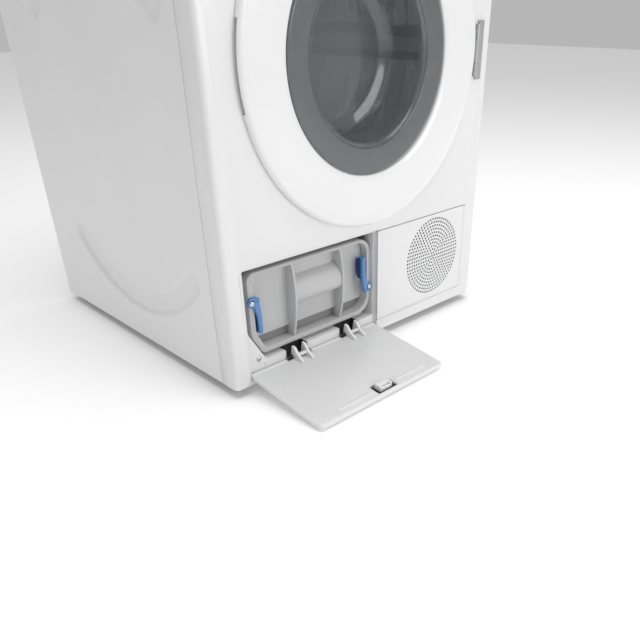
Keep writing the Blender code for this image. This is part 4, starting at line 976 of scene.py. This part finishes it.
# --- controls ---------------------------------------------------------------------------------------------
def controls():
    shell = plate("control_fascia", [wrap_loop(WALL)], (PANEL, LID - SEAM), "XY", edge=0.0008, segments=3)
    low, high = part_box("condensate_container")
    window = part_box("display_window")
    tools = [prism("container_hole",
                   rounded((low.x - 0.0010, high.x + 0.0010), (low.z - 0.0010, high.z + 0.0010),
                           (0.003,) * 4), deep(-0.02, 0.02)),
             prism("display_hole",
                   rounded((window[0].x - 0.0004, window[1].x + 0.0004),
                           (window[0].z - 0.0004, window[1].z + 0.0004), (0.002,) * 4), deep(-0.02, 0.02)),
             lathe("knob_hole", [(0, FRONT - 0.01), (0.0040, FRONT - 0.01), (0.0040, FRONT + 0.02),
                                 (0, FRONT + 0.02)], (KNOB.x, KNOB.z), steps=32)]
    buttons = (("start_button", "start_key"), ("option_button", "option_key"))
    for node, body in buttons:
        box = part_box(node)
        x, radius = (box[0].x + box[1].x) / 2, (box[1].x - box[0].x) / 2
        tools.append(lathe(node + "_hole", [(0, FRONT - 0.01), (radius + 0.0006, FRONT - 0.01),
                                            (radius + 0.0006, FRONT + 0.02), (0, FRONT + 0.02)],
                           (x, KNOB.z), steps=48))
        cap = [(0, -0.0038), (radius * 0.5, -0.0040), (radius - 0.0012, -0.0045), (radius, -0.0036),
               (radius, 0.0070), (0, 0.0070)]
        place(lathe(node + "_cap", soften([(r, FRONT + d) for r, d in cap], 0.0006, closed=False),
                    (x, KNOB.z), steps=64), body, "pale_plastic", node)
    place(cut(shell, *tools, edge=0.0005, limit=60), "cabinet", "white_plastic", "control_panel")

    knob = [(0, -0.0222), (0.0120, -0.0222), (0.0195, -0.0230), (0.0213, -0.0222), (0.0222, -0.0200),
            (0.0240, -0.0050), (0.0245, -0.0030), (0.0030, -0.0030),
            (0.0030, 0.0120), (0, 0.0120)]
    body = lathe("knob_skin", soften([(r, FRONT + d) for r, d in knob], 0.0010, closed=False),
                 (KNOB.x, KNOB.z), steps=96)
    ribs = []
    for k in range(48):
        a = 2 * math.pi * k / 48
        start = (KNOB.x + 0.0226 * math.cos(a), FRONT - 0.0185, KNOB.z + 0.0226 * math.sin(a))
        end = (KNOB.x + 0.0240 * math.cos(a), FRONT - 0.0062, KNOB.z + 0.0240 * math.sin(a))
        ribs.append(tube(f"knob_rib_{k}", [start, end], 0.00035, 1))
    place(joined("knob_skin", [body, *ribs]), "knob", "pale_plastic", "programme_knob")
    mark = block("knob_mark", (KNOB.x - 0.0007, KNOB.x + 0.0007), deep(-0.0229, -0.0218),
                 (KNOB.z + 0.0110, KNOB.z + 0.0185), 0.0003)
    place(mark, "knob", "lever_blue")
    ticks = []
    for k in range(12):
        a = 2 * math.pi * (k + 0.5) / 12
        near, far = 0.0285, 0.0315
        ticks.append(tube(f"dial_tick_{k}",
                          [(KNOB.x + near * math.cos(a), FRONT + 0.00025, KNOB.z + near * math.sin(a)),
                                             (KNOB.x + far * math.cos(a), FRONT + 0.00025,
                                              KNOB.z + far * math.sin(a))], 0.0005, 2))
    place(joined("dial_ticks", ticks), "cabinet", "fan_plastic")

    glassy = plate("display_face", [rounded((window[0].x, window[1].x), (window[0].z, window[1].z),
                                            (0.0018,) * 4)], (window[0].y, window[1].y), edge=0.0006)
    place(glassy, "cabinet", "black_plastic", "display_window")
    bars = [block(f"display_bar_{k}", (window[0].x + 0.012 + 0.016 * k, window[0].x + 0.022 + 0.016 * k),
                  (window[0].y - 0.0001, window[0].y + 0.0004),
                  (window[0].z + 0.008, window[0].z + 0.0092), 0.00008) for k in range(5)]
    place(joined("display_bars", bars), "cabinet", "lever_blue")

    front = plate("container_front", [rounded((low.x, high.x), (low.z, high.z), (0.0025,) * 4)],
                  deep(-0.0015, 0.0040), edge=0.0012, segments=3)
    scoop = prism("scoop", rounded((-0.185, -0.129), (low.z - 0.01, 0.7560), (0, 0, 0.006, 0.006)),
                  deep(-0.01, 0.0035))
    front = cut(front, scoop, edge=0.0005, limit=60)
    tank = block("container_tank", (-0.2580, -0.0560), deep(0.0026, 0.3500), (0.7520, 0.8090), 0.0020)
    hollow = prism("tank_hollow", rounded((-0.2555, -0.0585), (0.7545, 0.8400), (0.003,) * 4),
                   deep(0.0070, 0.3475))
    tank = cut(tank, hollow, edge=0.0004, limit=60)
    place(joined("container_skin", [front, tank]), "container", "white_plastic", "condensate_container")


# --- feet -------------------------------------------------------------------------------------------------
def feet():
    for corner in ("fl", "fr", "rl", "rr"):
        name = "foot_" + {"f": "front_", "r": "rear_"}[corner[0]] + {"l": "left", "r": "right"}[corner[1]]
        low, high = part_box(name)
        middle = ((low.x + high.x) / 2, (low.y + high.y) / 2)
        profile = [(0, high.z), (0.0046, high.z), (0.0050, high.z - 0.0005)]
        for turn in range(10):
            z = high.z - 0.001 - turn * 0.0018
            profile += [(0.0050, z), (0.0044, z - 0.0009)]
        profile += [(0.0050, 0.0157), (0.0150, 0.0157), (0.0165, 0.0145), (0.0195, 0.0100),
                    (0.0200, 0.0085), (0.0200, 0.0010), (0.0190, 0), (0, 0)]
        place(lathe(name + "_skin", profile, middle, axis="Z", steps=48, angle=math.radians(50)),
              "foot_" + corner, "black_plastic", name)


side_skin("side_panel_left", -1)
side_skin("side_panel_right", 1)
front_sheet()
worktop()
rear_sheet()
service_frame()
grille()
flap()
cassette()
door()
drum()
controls()
feet()

# --- floor, light and camera ------------------------------------------------------------------------------
floor_mesh = bpy.data.meshes.new("floor")
floor_mesh.from_pydata([(-9, -9, 0), (9, -9, 0), (9, 9, 0), (-9, 9, 0)], [], [(0, 1, 2, 3)])
floor = bpy.data.objects.new("floor", floor_mesh)
bpy.context.scene.collection.objects.link(floor)
floor_mesh.materials.append(material("pale_floor", (0.97, 0.97, 0.97), 0.9, grain=300, relief=0.00001,
                                     mottle=0.0,
                                     Emission_Color=(1, 1, 1, 1), Emission_Strength=0.12))

world = bpy.data.worlds.new("studio")
world.use_nodes = True
world.node_tree.nodes["Background"].inputs["Color"].default_value = (1, 1, 1, 1)
world.node_tree.nodes["Background"].inputs["Strength"].default_value = 0.47
bpy.context.scene.world = world


def lamp(name, spot, aim, size, watts):
    data = bpy.data.lights.new(name, "AREA")
    data.size = size
    data.energy = watts
    obj = bpy.data.objects.new(name, data)
    obj.location = spot
    obj.rotation_mode = "QUATERNION"
    obj.rotation_quaternion = (Vector(aim) - Vector(spot)).to_track_quat("-Z", "Y")
    bpy.context.scene.collection.objects.link(obj)


lamp("key", (0.9, -2.8, 1.3), (0, 0, 0.3), 1.5, 22)
lamp("top", (0.0, -0.4, 3.2), (0, -0.2, 0.0), 2.6, 58)

AZIMUTH, ELEVATION = 0.789, 0.547
view = Vector((math.sin(AZIMUTH) * math.cos(ELEVATION), math.cos(AZIMUTH) * math.cos(ELEVATION),
               -math.sin(ELEVATION)))
camera_data = bpy.data.cameras.new("camera")
camera_data.sensor_width = 36
camera_data.lens = 36.52
camera_data.shift_x = -0.0684
camera_data.shift_y = 0.1233
camera = bpy.data.objects.new("camera", camera_data)
camera.location = (-0.78144, -0.97854, 0.53832)
camera.rotation_mode = "QUATERNION"
camera.rotation_quaternion = view.to_track_quat("-Z", "Y")
bpy.context.scene.collection.objects.link(camera)
bpy.context.scene.camera = camera
bpy.context.scene.view_settings.view_transform = "Standard"
